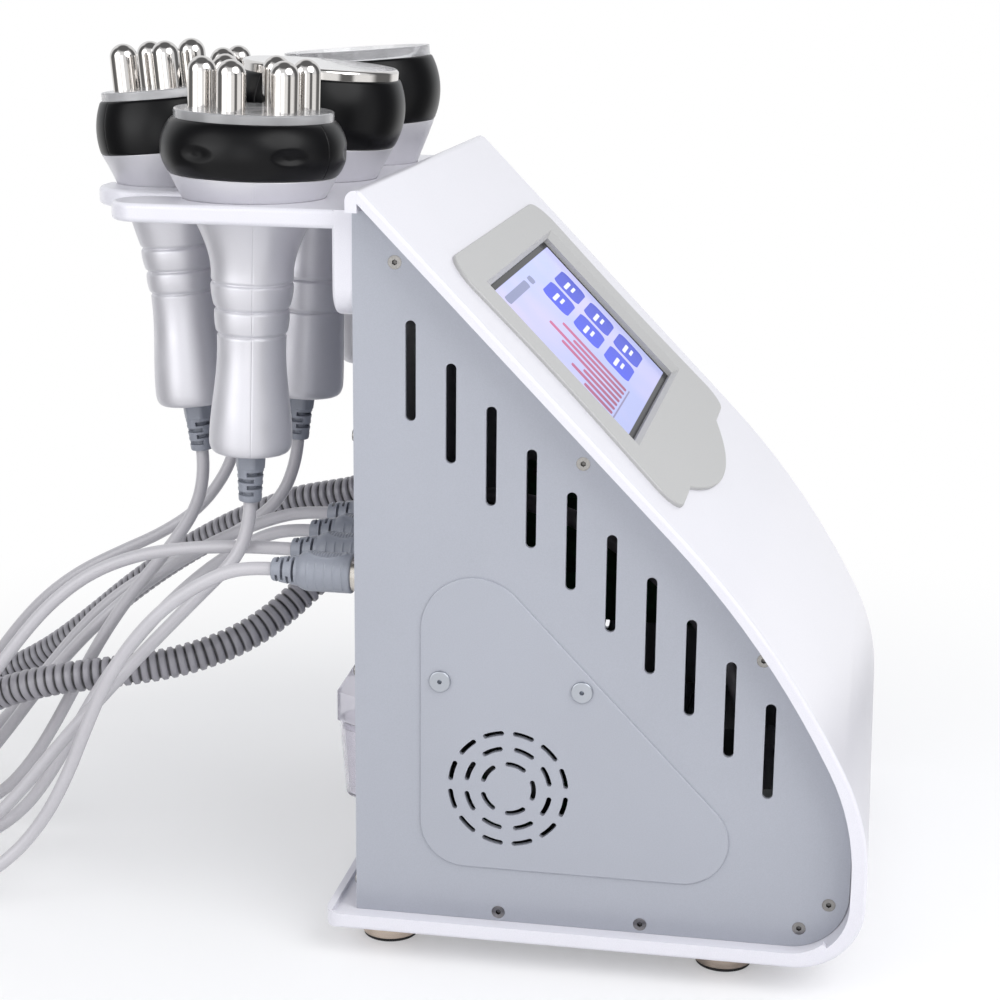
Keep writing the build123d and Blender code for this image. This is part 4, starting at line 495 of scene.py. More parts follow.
def lit_screen(finish):
    """The glass with its lit picture: plain fields of the screen's colours on a pale ground."""
    material, tree, place = started("screen_glass", Roughness=0.16, Specular_IOR_Level=0.08)
    offset = vectors(tree, "SUBTRACT", place, [v * MM for v in SLOPE_TOP])
    down = maths(tree, "MULTIPLY", vectors(tree, "DOT_PRODUCT", offset, SLOPE_DOWN), 1 / MM)
    across = maths(tree, "MULTIPLY", add(tree, "ShaderNodeSeparateXYZ", {0: place}).outputs[0], 1 / MM)
    group = rounded_field_group()

    def mask(*field):
        values = dict(enumerate((across, down, *field)))
        return add(tree, "ShaderNodeGroup", values, node_tree=group).outputs[0]

    ground, tile, chart = finish.ground, finish.tile, finish.chart
    colours = {
        "title": scaled(ground, 0.52),
        "tile": blended(tree, ranged(tree, across, 0.0, 70.0), scaled(tile, 1.1), scaled(tile, 0.75)),
        "mark": (0.86, 0.89, 1.0),
        "axis": (0.25, 0.22, 0.4),
        "chart": blended(tree, ranged(tree, down, 105.0, 150.0), scaled(chart, 1.35), scaled(chart, 0.75)),
    }
    picture = blended(tree, ranged(tree, down, 74.0, 161.0), scaled(ground, 1.08), scaled(ground, 0.9))
    soft = ranged(tree, noise(tree, place, 22.0, 1.0), 0.45, 0.75, 0.0, 0.35)
    picture = blended(tree, soft, picture, (0.86, 0.66, 0.86))
    for *field, kind in SCREEN_FIELDS:
        picture = blended(tree, mask(*field), picture, colours[kind])
    lit = mask(0.0, SCREEN_MIDDLE, *SCREEN_HALF, SCREEN_CORNER)
    picture = blended(tree, lit, (0.002, 0.002, 0.003), picture)
    inputs = tree.nodes[SHADER].inputs
    tree.links.new(blended(tree, UNLIT_DIM, picture, (0.0, 0.0, 0.0)), inputs["Base Color"])
    tree.links.new(picture, inputs["Emission Color"])
    inputs["Emission Strength"].default_value = GLOW
    return material


def slot_name(material):
    """A material's name without the number that Blender may add."""
    return material.name.split(".")[0]


FINISHES = {}


def build_finishes(finish):
    """Every material, by the name of the record's slot: its colour, roughness, grain and so on."""
    made = (
        textured("shell_white", finish.shell, 0.32, 2600.0, 0.000006, spread=0.012, coat=(0.45, 0.12)),
        textured("panel_gray", finish.panel, 0.46, 1900.0, 0.000022, spread=0.025, coat=(0.1, 0.4),
                 Metallic=0.12),
        textured("bezel_gray", finish.bezel, 0.42, 2200.0, 0.00001, spread=0.02, coat=(0.15, 0.25)),
        textured("black_satin", finish.band, 0.3, 3600.0, 0.000008, 18.0, 0.15, Specular_IOR_Level=0.2),
        textured("boot_gray", finish.boot, 0.4, 3000.0, 0.00001, 30.0, 0.03, coat=(0.12, 0.25)),
        textured("cord_gray", finish.cord, 0.3, 2400.0, 0.000006, 35.0, 0.03, coat=(0.25, 0.2)),
        textured("rubber_black", colour("1b1b1c"), 0.7, 3000.0, 0.00003, spread=0.1),
        textured("fan_black", colour("232426"), 0.5, 2600.0, 0.00002, spread=0.1),
        textured("switch_black", colour("18181a"), 0.36, 3000.0, 0.00001, spread=0.1, Coat_Weight=0.1),
        textured("board_green", colour("1f5a3c"), 0.42, 900.0, 0.00003, 160.0, 0.3, Coat_Weight=0.3),
        polished_metal("pearl_silver", finish.grip, 0.42, 5200.0, coat=(0.12, 0.2), Metallic=0.48),
        polished_metal("pin_metal", colour("dedbd8"), 0.08, 1800.0, Metallic=1.0),
        # the screws get painted shade in their sockets and gaps
        metal_with_painted_crevice_shade("steel_screw", colour("9b9997"), 0.2, 0.0018),
        turned_metal("nickel", colour("b4b8bf"), 0.3, 0, 1500.0, 0.000004),
        turned_metal("foot_metal", colour("cbbcae"), 0.24, 2, 3200.0, 0.000008),
        turned_metal("socket_metal", colour("c9c4bd"), 0.2, 1, 2600.0, 0.00001),
        turned_metal("module_metal", colour("a4a7aa"), 0.35, 0, 900.0, 0.000006),
        clear_plastic("clear_disk", colour("f0f0f2"), 0.2, 0.66, 130.0),
        clear_plastic("clear_cup", colour("f4f4f6"), 0.12, 0.8, 90.0),
        clear_plastic("jar_clear", colour("f8f6fd"), 0.05, 0.88, 70.0, 1.3),
        clear_plastic("jar_head", colour("f6f4fb"), 0.1, 0.62, 70.0, 1.18),
        hose_plastic_with_painted_groove_shade("hose_gray", finish.hose),
        lit_screen(finish),
    )
    FINISHES.update((slot_name(material), material) for material in made)


def dress(*slots):
    """Gives the CAD nodes that carry these slots the materials of the same names."""
    for node in frame["nodes"].values():
        for place in node.material_slots:
            if place.material and slot_name(place.material) in slots:
                place.material = FINISHES[slot_name(place.material)]


# Making of pieces

SKIN_SHARP, TUBE_SHARP = 32.0, 50.0    # faces that meet at more than this keep an edge


def finished(obj, body, slot, node):
    """Gives a new piece its material and its body, and hides the CAD node that it stands for."""
    if not obj.data.materials:
        obj.data.materials.append(FINISHES[slot])
    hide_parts(node)
    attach(obj, body)


def placed(name, data):
    """A new object in the scene."""
    obj = bpy.data.objects.new(name, data)
    bpy.context.scene.collection.objects.link(obj)
    return obj


def skin(name, place, heights, angles, radius_at, bore=0.0):
    """A closed skin round the z axis of a frame, all in mm: radius_at gives a radius for each
    height, as a column, and each angle in radians, as a row. Its inside is a bore, or its ends
    close in a point."""
    heights = np.array(sorted(heights))[:, None]
    angles = np.array(sorted(angles))[None, :]
    radii = np.broadcast_to(radius_at(heights, angles), (heights.size, angles.size))
    levels = np.broadcast_to(heights, radii.shape)
    radii = np.concatenate([radii, np.full((2, angles.size), bore)])
    levels = np.concatenate([levels, levels[[-1, 0]]])
    rows = np.stack([radii * np.cos(angles), radii * np.sin(angles), levels], axis=-1)
    count, rows_count = angles.size, heights.size
    k = np.arange(count)
    ahead = (k + 1) % count
    if bore:
        points, last_row = rows.reshape(-1, 3), rows_count + 2
    else:
        points = np.concatenate([rows[:rows_count].reshape(-1, 3), rows[[-1, -2], 0]])
        last_row = rows_count - 1
    faces = []
    for row in range(last_row):
        low, high = row * count, (row + 1) % (rows_count + 2) * count
        faces += np.stack([low + k, low + ahead, high + ahead, high + k], axis=1).tolist()
    if not bore:
        last, bottom, top = (rows_count - 1) * count, rows_count * count, rows_count * count + 1
        faces += [(int(b), int(a), bottom) for a, b in zip(k, ahead)]
        faces += [(last + int(a), last + int(b), top) for a, b in zip(k, ahead)]
    matrix = np.array(place)
    points = (points @ matrix[:3, :3].T + matrix[:3, 3]) * MM
    mesh = bpy.data.meshes.new(name)
    mesh.from_pydata(points.tolist(), [], faces)
    mesh.validate()
    mesh.shade_smooth()
    mesh.set_sharp_from_angle(angle=math.radians(SKIN_SHARP))
    return placed(name, mesh)


def turn_steps(count, *edges):
    """Angles all round, with a close pair at each edge given in degrees."""
    found = [2 * math.pi * k / count for k in range(count)]
    for edge in edges:
        for step in (-0.25, 0.25):
            found.append(math.radians(edge + step) % (2 * math.pi))
    return found


def seam_steps(turn, spacing, count):
    """Angles close together on both sides of two opposite parting lines."""
    return [math.radians(turn + side + step * spacing) % (2 * math.pi)
            for side in (0, 180) for step in range(-count, count + 1)]


def height_steps(low, high, spacing, *edges):
    """Heights from end to end, with a close pair at each edge."""
    count = max(2, round((high - low) / spacing))
    found = [low + (high - low) * k / count for k in range(count + 1)]
    for edge in edges:
        found += [edge - 0.03, edge + 0.03]
    return [h for h in found if low <= h <= high]


def apart(angles, middle):
    """How far angles are from a middle given in degrees, in radians, either way round."""
    return np.abs((angles - math.radians(middle) + math.pi) % (2 * math.pi) - math.pi)


def rounded_end(heights, low, high, size):
    """How much a rounded edge at either end takes off the radius."""
    into = np.clip(size - np.minimum(heights - low, high - heights), 0, size)
    return size - np.sqrt(size * size - into * into)


def joint_frame(name):
    """The frame at the joint of a handpiece's grip and band."""
    joint, lean = HANDPIECES[name][:2]
    return Matrix.Translation(joint) @ Matrix.Rotation(-math.radians(lean), 4, "X")


def foot_frame(name):
    """The frame at the lower end of a handpiece's grip."""
    return joint_frame(name) @ Matrix.Translation((0, 0, -GRIPS[name].levels[-1]))


def groove_levels(grip):
    return sorted(grip.levels[2] - drop for drop in grip.drops)


def eased(heights, start, stop, r0, r1, slope0, slope1):
    """Radii between two heights, on a cubic curve with these slopes at its ends."""
    span = stop - start
    t = (heights - start) / span
    return ((2 * t ** 3 - 3 * t ** 2 + 1) * r0 + (t ** 3 - 2 * t ** 2 + t) * span * slope0
            + (3 * t ** 2 - 2 * t ** 3) * r1 + (t ** 3 - t ** 2) * span * slope1)


def grip_radius(name, heights):
    """The grip's radius: a rounded foot, a drawn-in waist, swollen rings and a flaring top."""
    grip = GRIPS[name]
    levels, radii = np.array(grip.levels), np.array(grip.radii)
    flare, waist, shoulder = levels[:3]
    lower, upper = waist - flare, shoulder - waist
    slopes = ((radii[1] - radii[0]) / lower, (radii[2] - radii[1]) / upper)
    waist_slope = (3 * (upper * slopes[0] + lower * slopes[1]) - lower * grip.slope) / (2 * (lower + upper))
    foot = grip.end + (radii[0] - grip.end) * np.sqrt(np.clip(1 - (1 - heights / flare) ** 2, 0, 1))
    top = np.polyval(np.polyfit(levels[2:] - shoulder, radii[2:], 3), heights - shoulder)
    result = np.where(heights < waist, eased(heights, flare, waist, radii[0], radii[1], 0.0, waist_slope),
                      eased(heights, waist, shoulder, radii[1], radii[2], waist_slope, grip.slope))
    result = np.where(heights > shoulder, top, np.where(heights < flare, foot, result))
    grooves = groove_levels(grip)
    for low, high in zip(grooves, grooves[1:]):
        share = np.clip((heights - low) / (high - low), 0, 1)
        result = result + RING_SWELL * np.sin(math.pi * share) ** 0.7
    for groove in grooves:
        result = result - GROOVE_SIZE * np.exp(-((heights - groove) / GROOVE_SIZE) ** 2)
    return result


def band_radius(name, heights):
    """The band's bulge: one arc through its foot, its widest place and its top."""
    height, widest, middle, top = HANDPIECES[name][2:]
    root = GRIPS[name].radii[-1]
    (x1, y1), (x2, y2), (x3, y3) = (root, 0), (widest, middle), (top, height)
    cross = 2 * (x1 * (y2 - y3) + x2 * (y3 - y1) + x3 * (y1 - y2))
    squares = [x * x + y * y for x, y in ((x1, y1), (x2, y2), (x3, y3))]
    centre_x = (squares[0] * (y2 - y3) + squares[1] * (y3 - y1) + squares[2] * (y1 - y2)) / cross
    centre_y = (squares[0] * (x3 - x2) + squares[1] * (x1 - x3) + squares[2] * (x2 - x1)) / cross
    radius = math.hypot(x2 - centre_x, y2 - centre_y)
    return centre_x + np.sqrt(radius * radius - (heights - centre_y) ** 2)


def seam_cut(angles, radii, turn, width, depth):
    """The depth of two opposite parting lines."""
    cut = 0
    for side in (0, 180):
        away = apart(angles, turn + side) * radii
        cut = cut + depth * np.exp(-(away / (width / 2)) ** 2)
    return cut


def slot_mask(heights, angles, rows, thickness, turn, half_turn):
    """True in the slots of a strain relief: two a row, each row turned a quarter from the last."""
    inside = np.zeros(np.broadcast_shapes(heights.shape, angles.shape), bool)
    for k, row in enumerate(rows):
        for side in (0, 180):
            away = apart(angles, turn + 90 * (k % 2) + side)
            inside |= (np.abs(heights - row) < thickness / 2) & (away < math.radians(half_turn))
    return inside


def slot_edges(rows, thickness, turn, half_turn):
    """Where a strain relief's slots begin and end, in height and in turn."""
    levels = [row + side * thickness / 2 for row in rows for side in (-1, 1)]
    turns = [turn + quarter + side * half_turn for quarter in (0, 90, 180, 270) for side in (-1, 1)]
    return levels, turns


def path_mesh(name, points):
    """The line of a NURBS spline through its control points, as a mesh of one run of edges."""
    curve = bpy.data.curves.new(name, "CURVE")
    curve.dimensions = "3D"
    curve.resolution_u = 14
    spline = curve.splines.new("NURBS")
    spline.points.add(len(points) - 1)
    for control, place in zip(spline.points, points):
        control.co = (*place, 1)
    spline.order_u = 3
    spline.use_endpoint_u = True
    holder = bpy.data.objects.new(name, curve)
    mesh = bpy.data.meshes.new_from_object(holder)
    bpy.data.objects.remove(holder)
    return mesh


TUBE_INPUTS = (("Radius", "Float"), ("Rib Depth", "Float"), ("Rib Pitch", "Float"),
               ("Groove Share", "Float"), ("Step", "Float"), ("Sides", "Int"), ("Finish", "Material"))
RIB_FLANK = 0.24             # of the ribs' pitch


def tube_tree():
    """A tube round a path, with grooves at an even pitch where its rib depth isn't 0."""
    tree = bpy.data.node_groups.new("tube_along_path", "GeometryNodeTree")
    tree.interface.new_socket("Geometry", in_out="INPUT", socket_type="NodeSocketGeometry")
    for name, kind in TUBE_INPUTS:
        tree.interface.new_socket(name, in_out="INPUT", socket_type="NodeSocket" + kind)
    tree.interface.new_socket("Geometry", in_out="OUTPUT", socket_type="NodeSocketGeometry")
    given = add(tree, "NodeGroupInput").outputs
    line = add(tree, "GeometryNodeMeshToCurve", {0: given["Geometry"]}).outputs[0]
    line = add(tree, "GeometryNodeResampleCurve", {"Curve": line, "Length": given["Step"]},
               mode="LENGTH").outputs[0]
    length = add(tree, "GeometryNodeSplineParameter").outputs["Length"]
    turn = maths(tree, "FRACT", maths(tree, "DIVIDE", length, given["Rib Pitch"]))
    away = maths(tree, "ABSOLUTE", maths(tree, "SUBTRACT", turn, 0.5))
    half = maths(tree, "MULTIPLY", given["Groove Share"], 0.5)
    rise = ranged(tree, away, half, maths(tree, "ADD", half, RIB_FLANK), 1.0, 0.0, "SMOOTHSTEP")
    radius = maths(tree, "SUBTRACT", given["Radius"], maths(tree, "MULTIPLY", rise, given["Rib Depth"]))
    # stores how deep in a groove each point is; the hose's material reads it for its painted groove shade
    line = add(tree, "GeometryNodeStoreNamedAttribute", {"Geometry": line, "Name": "groove", "Value": rise},
               data_type="FLOAT", domain="POINT").outputs[0]
    ring = add(tree, "GeometryNodeCurvePrimitiveCircle",
               {"Resolution": given["Sides"], "Radius": 1.0}).outputs[0]
    wall = add(tree, "GeometryNodeCurveToMesh", {"Curve": line, "Profile Curve": ring, "Scale": radius,
                                                 "Fill Caps": True}).outputs[0]
    for kind, inputs in (("SetShadeSmooth", {"Shade Smooth": True}), ("RealizeInstances", {}),
                         ("SetMaterial", {"Material": given["Finish"]})):
        wall = add(tree, "GeometryNode" + kind, {"Geometry": wall, **inputs}).outputs[0]
    tree.links.new(wall, add(tree, "NodeGroupOutput").inputs[0])
    return tree


def tube(name, points, slot, diameter, step, sides, rib_depth=0.0, rib_pitch=1.0, groove_share=0.3):
    """A tube along the route's own spline, and the points that it follows."""
    line = path_mesh(name, points)
    path = [tuple(v.co) for v in line.vertices]
    holder = placed(name + "_path", line)
    tree = bpy.data.node_groups.get("tube_along_path") or tube_tree()
    modifier = holder.modifiers.new("tube", "NODES")
    modifier.node_group = tree
    values = {"Radius": diameter / 2, "Rib Depth": rib_depth, "Rib Pitch": rib_pitch,
              "Groove Share": groove_share, "Step": step, "Sides": sides, "Finish": FINISHES[slot]}
    for item in tree.interface.items_tree:
        if item.in_out == "INPUT" and item.name in values:
            modifier[item.identifier] = values[item.name]
    bpy.context.view_layer.update()
    mesh = bpy.data.meshes.new_from_object(holder.evaluated_get(bpy.context.evaluated_depsgraph_get()))
    bpy.data.objects.remove(holder)
    mesh.name = name
    mesh.set_sharp_from_angle(angle=math.radians(TUBE_SHARP))
    return placed(name, mesh), path


def lay_cord(piece, node):
    """Hides the cord's CAD node and bakes the piece's place into its mesh."""
    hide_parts(node)
    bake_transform(piece)


# Operators

# The photograph's view: the camera's place in metres, heading, fall below level, roll and lens
CAMERA_PLACE = (-0.98303, -0.17295, 0.43367)
CAMERA_HEADING, CAMERA_FALL, CAMERA_ROLL, CAMERA_LENS = 10.02926, 14.41691, 0.59320, 77.17
# Where the lamps are and how wide, what they aim at, how far the floor goes, where its shadows fade
# into the background, and the middle of what mirrors the studio, in metres
KEY_LAMP, FILL_LAMP = ((-0.75, -0.95, 1.15), 1.3), ((-0.95, 0.85, 0.75), 1.1)
LAMP_AIM = (0.0, 0.03, 0.2)
FLOOR_REACH, FLOOR_FADE = 12, (0.2, 0.62)
MIRROR_MIDDLE = (0.0, 0.05, 0.35)
WHITE = (1, 1, 1, 1)


class MACHINE_OT_studio(bpy.types.Operator):
    """Sets up the camera, the pale floor and the soft light"""
    bl_idname = "machine.studio"
    bl_label = "Studio"

    def execute(self, context):
        studio = settings()[2]
        scene = context.scene
        scene.view_settings.view_transform = "Standard"
        self.camera(scene)
        self.floor(studio)
        self.world(scene, studio)
        self.lamp("key", *KEY_LAMP, studio.key)
        self.lamp("fill", *FILL_LAMP, studio.fill)
        return {"FINISHED"}

    def camera(self, scene):
        heading, fall, roll = (math.radians(v) for v in (CAMERA_HEADING, CAMERA_FALL, CAMERA_ROLL))
        ahead = Vector((math.cos(fall) * math.cos(heading), math.cos(fall) * math.sin(heading),
                        -math.sin(fall)))
        level = Vector((math.sin(heading), -math.cos(heading), 0))
        upright = level.cross(ahead)
        right = math.cos(roll) * level + math.sin(roll) * upright
        up = math.cos(roll) * upright - math.sin(roll) * level
        data = bpy.data.cameras.new("camera")
        data.lens = CAMERA_LENS
        data.sensor_width = 36
        data.clip_start = 0.02
        camera = placed("camera", data)
        matrix = Matrix((right, up, -ahead)).transposed().to_4x4()
        matrix.translation = CAMERA_PLACE
        camera.matrix_world = matrix
        scene.camera = camera

    def floor(self, studio):
        """A pale floor that turns into the white background away from the machine."""
        mesh = bpy.data.meshes.new("floor")
        corners = [(x * FLOOR_REACH, y * FLOOR_REACH, 0) for x, y in ((-1, -1), (1, -1), (1, 1), (-1, 1))]
        mesh.from_pydata(corners, [], [(0, 1, 2, 3)])
        material, tree, place = started("floor_pale", Roughness=0.3, Specular_IOR_Level=0.35)
        shader = tree.nodes[SHADER]
        tint = blended(tree, noise(tree, place, 3.0), scaled(studio.floor, 0.985), scaled(studio.floor, 1))
        tree.links.new(tint, shader.inputs["Base Color"])
        rays = add(tree, "ShaderNodeLightPath").outputs
        mirrored = mirrored_studio(tree, vectors(tree, "SUBTRACT", place, MIRROR_MIDDLE), 1.0)
        strength = ranged(tree, rays["Is Glossy Ray"], 0.0, 1.0, 1.0, mirrored)
        light = add(tree, "ShaderNodeEmission", {"Color": WHITE, "Strength": strength}).outputs[0]
        # What the camera sees, straight or through gloss and clear plastic
        seen = [rays[f"Is {kind} Ray"] for kind in ("Camera", "Glossy", "Transmission")]
        far = ranged(tree, vectors(tree, "LENGTH", place), *FLOOR_FADE, 0.3, 1.0, kind="SMOOTHSTEP")
        share = maths(tree, "MULTIPLY", far, maths(tree, "MAXIMUM", *seen))
        both = either(tree, share, shader.outputs[0], light)
        tree.links.new(both, tree.nodes["Material Output"].inputs[0])
        floor = placed("floor", mesh)
        mesh.materials.append(material)

    def world(self, scene, studio):
        """Even light on the machine, the mirrored studio for gloss and white for the camera."""
        world = bpy.data.worlds.new("studio")
        world.use_nodes = True
        tree = world.node_tree
        tree.nodes.clear()
        mirrored = mirrored_studio(tree, add(tree, "ShaderNodeTexCoord").outputs["Generated"], 0.9)
        even, gloss, white = (
            add(tree, "ShaderNodeBackground", {"Color": rgba, "Strength": strength}).outputs[0]
            for rgba, strength in (((0.96, 0.97, 1.0, 1), studio.sky), ((0.97, 0.98, 1.0, 1), mirrored),
                                   (WHITE, 1.0)))
        rays = add(tree, "ShaderNodeLightPath").outputs
        unseen = either(tree, rays["Is Glossy Ray"], even, gloss)
        both = either(tree, rays["Is Camera Ray"], unseen, white)
        tree.links.new(both, add(tree, "ShaderNodeOutputWorld").inputs[0])
        scene.world = world

    def lamp(self, name, place, size, power):
        data = bpy.data.lights.new(name, "AREA")
        data.shape = "DISK"
        data.size = size
        data.energy = power
        lamp = placed(name, data)
        away = Vector(place) - Vector(LAMP_AIM)
        lamp.matrix_world = Matrix.Translation(place) @ away.to_track_quat("Z", "Y").to_matrix().to_4x4()


class MACHINE_OT_cords(bpy.types.Operator):
    """Lays the four round cords from their handpieces to their plugs"""
    bl_idname = "machine.cords"
    bl_label = "Cords"

    def execute(self, context):
        sizes = settings()[1]
        for name, (probe, bend) in CORD_BENDS.items():
            if name == "suction_hose":
                continue
            piece, path = tube(name + "_piece", ROUTES[name], "cord_gray", sizes.cord, step=0.0035, sides=20)
            lay_cord(piece, name)
        return {"FINISHED"}


class MACHINE_OT_hose(bpy.types.Operator):
    """Lays the ribbed suction hose and the pump's inner tube"""
    bl_idname = "machine.hose"
    bl_label = "Hoses"

    def execute(self, context):
        sizes = settings()[1]
        piece, path = tube("suction_hose_piece", ROUTES["suction_hose"], "hose_gray", sizes.hose,
                           step=sizes.rib_pitch / 10, sides=28, rib_depth=sizes.rib_depth,
                           rib_pitch=sizes.rib_pitch, groove_share=0.1)
        lay_cord(piece, "suction_hose")
        air, _ = tube("air_tube_piece", AIR_ROUTE, "hose_gray", sizes.air_tube, step=0.004, sides=18)
        finished(air, "machine", "hose_gray", "air_tube")
        return {"FINISHED"}


class MACHINE_OT_case(bpy.types.Operator):
    """Finishes the shell, tray, side panels, their fasteners and the feet"""
    bl_idname = "machine.case"
    bl_label = "Case"

    def execute(self, context):
        dress("shell_white", "panel_gray", "steel_screw", "nickel", "foot_metal", "rubber_black")
        return {"FINISHED"}


class MACHINE_OT_screen(bpy.types.Operator):
    """Finishes the bezel and lights the screen behind its glass"""
    bl_idname = "machine.screen"
    bl_label = "Screen"

    def execute(self, context):
        dress("bezel_gray", "screen_glass", "module_metal")
        return {"FINISHED"}


class MACHINE_OT_grips(bpy.types.Operator):
    """Turns the five grips with their swollen rings and parting lines"""
    bl_idname = "machine.grips"
    bl_label = "Grips"

    def execute(self, context):
        width = settings()[1].seam / MM
        for name, grip in GRIPS.items():
            length = grip.levels[-1]
            turn = TOWARDS_VIEW + SEAM_TURNS[name]

            def radius_at(level, angle):
                radii = grip_radius(name, level) - rounded_end(level, -1, length, GRIP_EDGE)
                return radii - seam_cut(angle, radii, turn, width, GRIP_SEAM_DEPTH)

            heights = height_steps(0, length, 1.5) + [0.12, 0.4, 0.8, length - 0.05, length - 0.3]
            for groove in groove_levels(grip):
                heights += [groove + step * 0.25 for step in range(-8, 9) if step]
            angles = turn_steps(88) + seam_steps(turn, 0.45, 4)
            piece = skin(name + "_grip_shell", foot_frame(name), heights, angles, radius_at)
            finished(piece, name, "pearl_silver", name + "_grip")
        return {"FINISHED"}


class MACHINE_OT_bands(bpy.types.Operator):
    """Turns the five black bands, one of them with six oval dimples"""
    bl_idname = "machine.bands"
    bl_label = "Bands"

    def execute(self, context):
        sizes = settings()[1]
        depth, width = sizes.dimple / MM, sizes.seam / MM * 0.8
        for name, band in HANDPIECES.items():
            dimples = DIMPLES if name == "body_probe" else 0
            turn = TOWARDS_VIEW + BAND_SEAM_TURN + SEAM_TURNS[name]

            def radius_at(level, angle):
                radii = band_radius(name, level) - rounded_end(level, 0, band.height, BAND_EDGE)
                radii = radii - seam_cut(angle, radii, turn, width, BAND_SEAM_DEPTH)
                for k in range(dimples):
                    aside = apart(angle, TOWARDS_VIEW + DIMPLE_TURN + 360 / DIMPLES * k) * band.widest
                    away = np.hypot(aside / DIMPLE_HALF_WIDTH, (level - DIMPLE_LEVEL) / DIMPLE_HALF_HEIGHT)
                    radii = radii - depth * np.clip(DIMPLE_BRIM - away, 0, DIMPLE_SLOPE) / DIMPLE_SLOPE
                return radii

            heights = height_steps(0, band.height, 0.55)
            heights += [0.05, 0.2, band.height - 0.05, band.height - 0.2]
            angles = turn_steps(288 if dimples else 120) + seam_steps(turn, 0.3, 3)
            bore = CUP_BORE if name == "suction_probe" else 0.0
            piece = skin(name + "_black_band", joint_frame(name), heights, angles, radius_at, bore=bore)
            finished(piece, name, "black_satin", name + "_band")
        return {"FINISHED"}


class MACHINE_OT_heads(bpy.types.Operator):
    """Finishes the heads: clear disks, polished pins, flat plate and suction cup"""
    bl_idname = "machine.heads"
    bl_label = "Heads"

    def execute(self, context):
        dress("clear_disk", "pin_metal", "clear_cup")
        return {"FINISHED"}


class MACHINE_OT_reliefs(bpy.types.Operator):
    """Makes the faceted collars and slotted strain reliefs below the grips, and the hose's cuff"""
    bl_idname = "machine.reliefs"
    bl_label = "Strain reliefs"

    def execute(self, context):
        end, collar_end, edge = -23, -7.6, 0.7
        slots = ([-10.0 - 3.0 * k for k in range(4)], 1.9, TOWARDS_VIEW + 45, 62)
        levels, turns = slot_edges(*slots)

        def radius_at(level, angle):
            facet = np.abs((angle + math.pi / 6) % (math.pi / 3) - math.pi / 6)
            apothem = 5.95 + 0.06 * (level + 7.5)
            collar = np.minimum(apothem / np.cos(facet), apothem * 1.09)
            taper = 6.05 + 0.062 * (level + 7.8)
            radii = np.where(level > collar_end, collar, taper + 0 * angle)
            radii = np.where(slot_mask(level, angle, *slots), 3.3, radii)
            return radii - rounded_end(level, end, 1, edge)

        heights = height_steps(end, 0, 0.8, collar_end, *levels) + [-22.95, -22.8]
        angles = turn_steps(72, *turns)
        for name in HANDPIECES:
            if name != "suction_probe":
                piece = skin(name + "_slotted_relief", foot_frame(name), heights, angles, radius_at)
                finished(piece, name, "boot_gray", name + "_relief")
        self.cuff("suction_probe")
        return {"FINISHED"}

    def cuff(self, name):
        """The hose's cuff: a collar, a plain barrel and three grip rings."""
        barrel, end, edge = 10.6, -24, 1.2

        def radius_at(level, angle):
            radii = barrel - 0.5 * np.exp(-((level + 5.5) / 0.5) ** 2)
            for k in range(3):
                radii = radii - 0.7 * np.exp(-((level + 12.5 + 3.4 * k) / 0.6) ** 2)
            return radii - rounded_end(level, end, 0, edge) + 0 * angle

        heights = height_steps(end, 0, 0.3) + [-23.96, -23.8, -0.04]
        piece = skin(name + "_hose_cuff", foot_frame(name), heights, turn_steps(64), radius_at)
        finished(piece, name, "boot_gray", name + "_cuff")


class MACHINE_OT_plugs(bpy.types.Operator):
    """Makes the four moulded plugs with thumb pads, rings and slotted boots, and their sockets"""
    bl_idname = "machine.plugs"
    bl_label = "Plugs"

    def execute(self, context):
        start, body_end, end = 3.2, 27.2, 39.7
        barrel_radius, boot_radius, edge = 8.7, 6.9, 0.8
        pad_middle, pad_half_length, pad_half_width = 14.8, 8.6, 4.4
        slots = ([29.4 + 2.5 * k for k in range(4)], 1.2, 20, 58)
        levels, turns = slot_edges(*slots)
        rings = [6.8 + 3.9 * k for k in range(5)]

        def radius_at(level, angle):
            shoulder = np.clip((level - body_end + 4.5) / 4.5, 0, 1)
            barrel = barrel_radius - rounded_end(level, start, body_end + 3, 1.0) - 1.5 * shoulder ** 2
            boot = boot_radius - 0.15 * (level - body_end)
            radii = np.where(level < body_end, barrel, boot) + 0 * angle
            top, bottom = (apart(angle, side) * barrel_radius for side in (90, 270))
            aside = np.clip((np.minimum(top, bottom) - 6.6) / 0.9, 0, 1)
            for ring in rings:
                radii = radii + 0.32 * aside * np.exp(-((level - ring) / 0.36) ** 2)
            pad = np.hypot((level - pad_middle) / pad_half_length, top / pad_half_width)
            radii = radii + 0.45 * np.exp(-((pad - 1) / 0.09) ** 2)
            radii = np.where(pad < 0.86, radii - 0.25 + 0.3 * np.cos(level * 2.4) ** 2, radii)
            radii = np.where(slot_mask(level, angle, *slots), 3.4, radii)
            return radii - rounded_end(level, -50, end, edge)

        heights = height_steps(start, end, 0.3, body_end, *levels)
        heights += [start + 0.05, start + 0.2, end - 0.05, end - 0.2]
        angles = turn_steps(96, *turns)
        to_rear = Matrix(((-1, 0, 0), (0, 0, 1), (0, 1, 0))).to_4x4()
        for k, x in enumerate(PLUG_XS):
            place = Matrix.Translation((x, REAR_Y, PLUG_Z)) @ to_rear
            piece = skin(f"plug_{k + 1}_moulding", place, heights, angles, radius_at)
            finished(piece, "machine", "boot_gray", f"plug_{k + 1}")
        dress("socket_metal", "boot_gray")
        return {"FINISHED"}


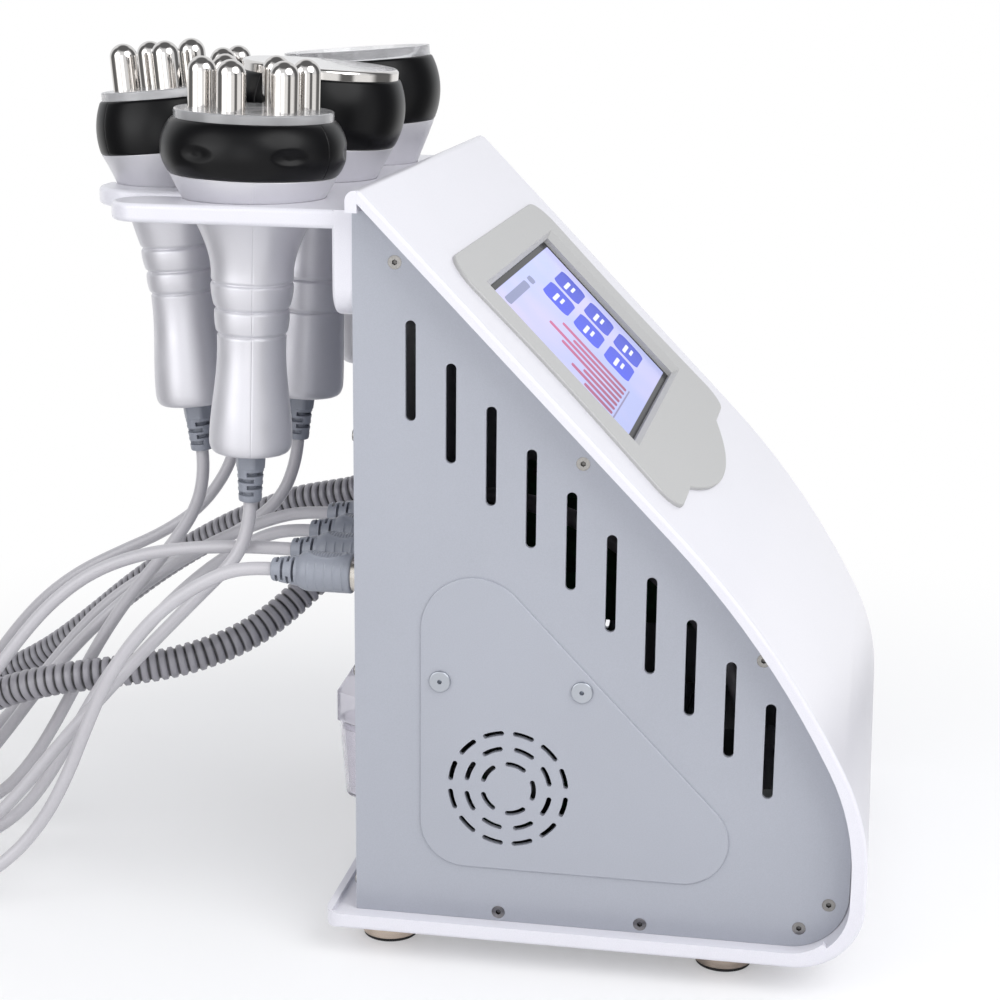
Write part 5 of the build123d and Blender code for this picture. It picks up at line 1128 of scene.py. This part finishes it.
class MACHINE_OT_jar(bpy.types.Operator):
    """Finishes the clear filter jar"""
    bl_idname = "machine.jar"
    bl_label = "Filter jar"

    def execute(self, context):
        dress("jar_clear", "jar_head")
        return {"FINISHED"}


class MACHINE_OT_inside(bpy.types.Operator):
    """Finishes the inlet, switch, fan, boards, supply and pump"""
    bl_idname = "machine.inside"
    bl_label = "Inlet and inside"

    def execute(self, context):
        dress("fan_black", "switch_black", "board_green", "module_metal", "hose_gray")
        return {"FINISHED"}


OPERATORS = (MACHINE_OT_studio, MACHINE_OT_cords, MACHINE_OT_hose, MACHINE_OT_case, MACHINE_OT_screen,
             MACHINE_OT_grips, MACHINE_OT_bands, MACHINE_OT_heads, MACHINE_OT_reliefs, MACHINE_OT_plugs,
             MACHINE_OT_jar, MACHINE_OT_inside)


class MACHINE_PT_pieces(bpy.types.Panel):
    """Lists the machine's settings and the steps that build it"""
    bl_label = "Beauty machine"
    bl_space_type = "VIEW_3D"
    bl_region_type = "UI"
    bl_category = "Machine"

    def draw(self, context):
        for group in settings():
            box = self.layout.box()
            for key in group.__annotations__:
                box.prop(group, key)
        for operator in OPERATORS:
            self.layout.operator(operator.bl_idname)


CLASSES = (*SETTINGS.values(), *OPERATORS, MACHINE_PT_pieces)


def register():
    for made in CLASSES:
        bpy.utils.register_class(made)
    for name, group in SETTINGS.items():
        setattr(bpy.types.Scene, name, bpy.props.PointerProperty(type=group))


def unregister():
    for name in SETTINGS:
        delattr(bpy.types.Scene, name)
    for made in reversed(CLASSES):
        bpy.utils.unregister_class(made)


def main():
    register()
    build_finishes(settings()[0])
    bpy.ops.machine.studio()
    bpy.ops.machine.cords()
    bpy.ops.machine.hose()
    bpy.ops.machine.case()
    bpy.ops.machine.screen()
    bpy.ops.machine.grips()
    bpy.ops.machine.bands()
    bpy.ops.machine.heads()
    bpy.ops.machine.reliefs()
    bpy.ops.machine.plugs()
    bpy.ops.machine.jar()
    bpy.ops.machine.inside()
    bpy.context.view_layer.update()


if __name__ == "__main__":
    main()
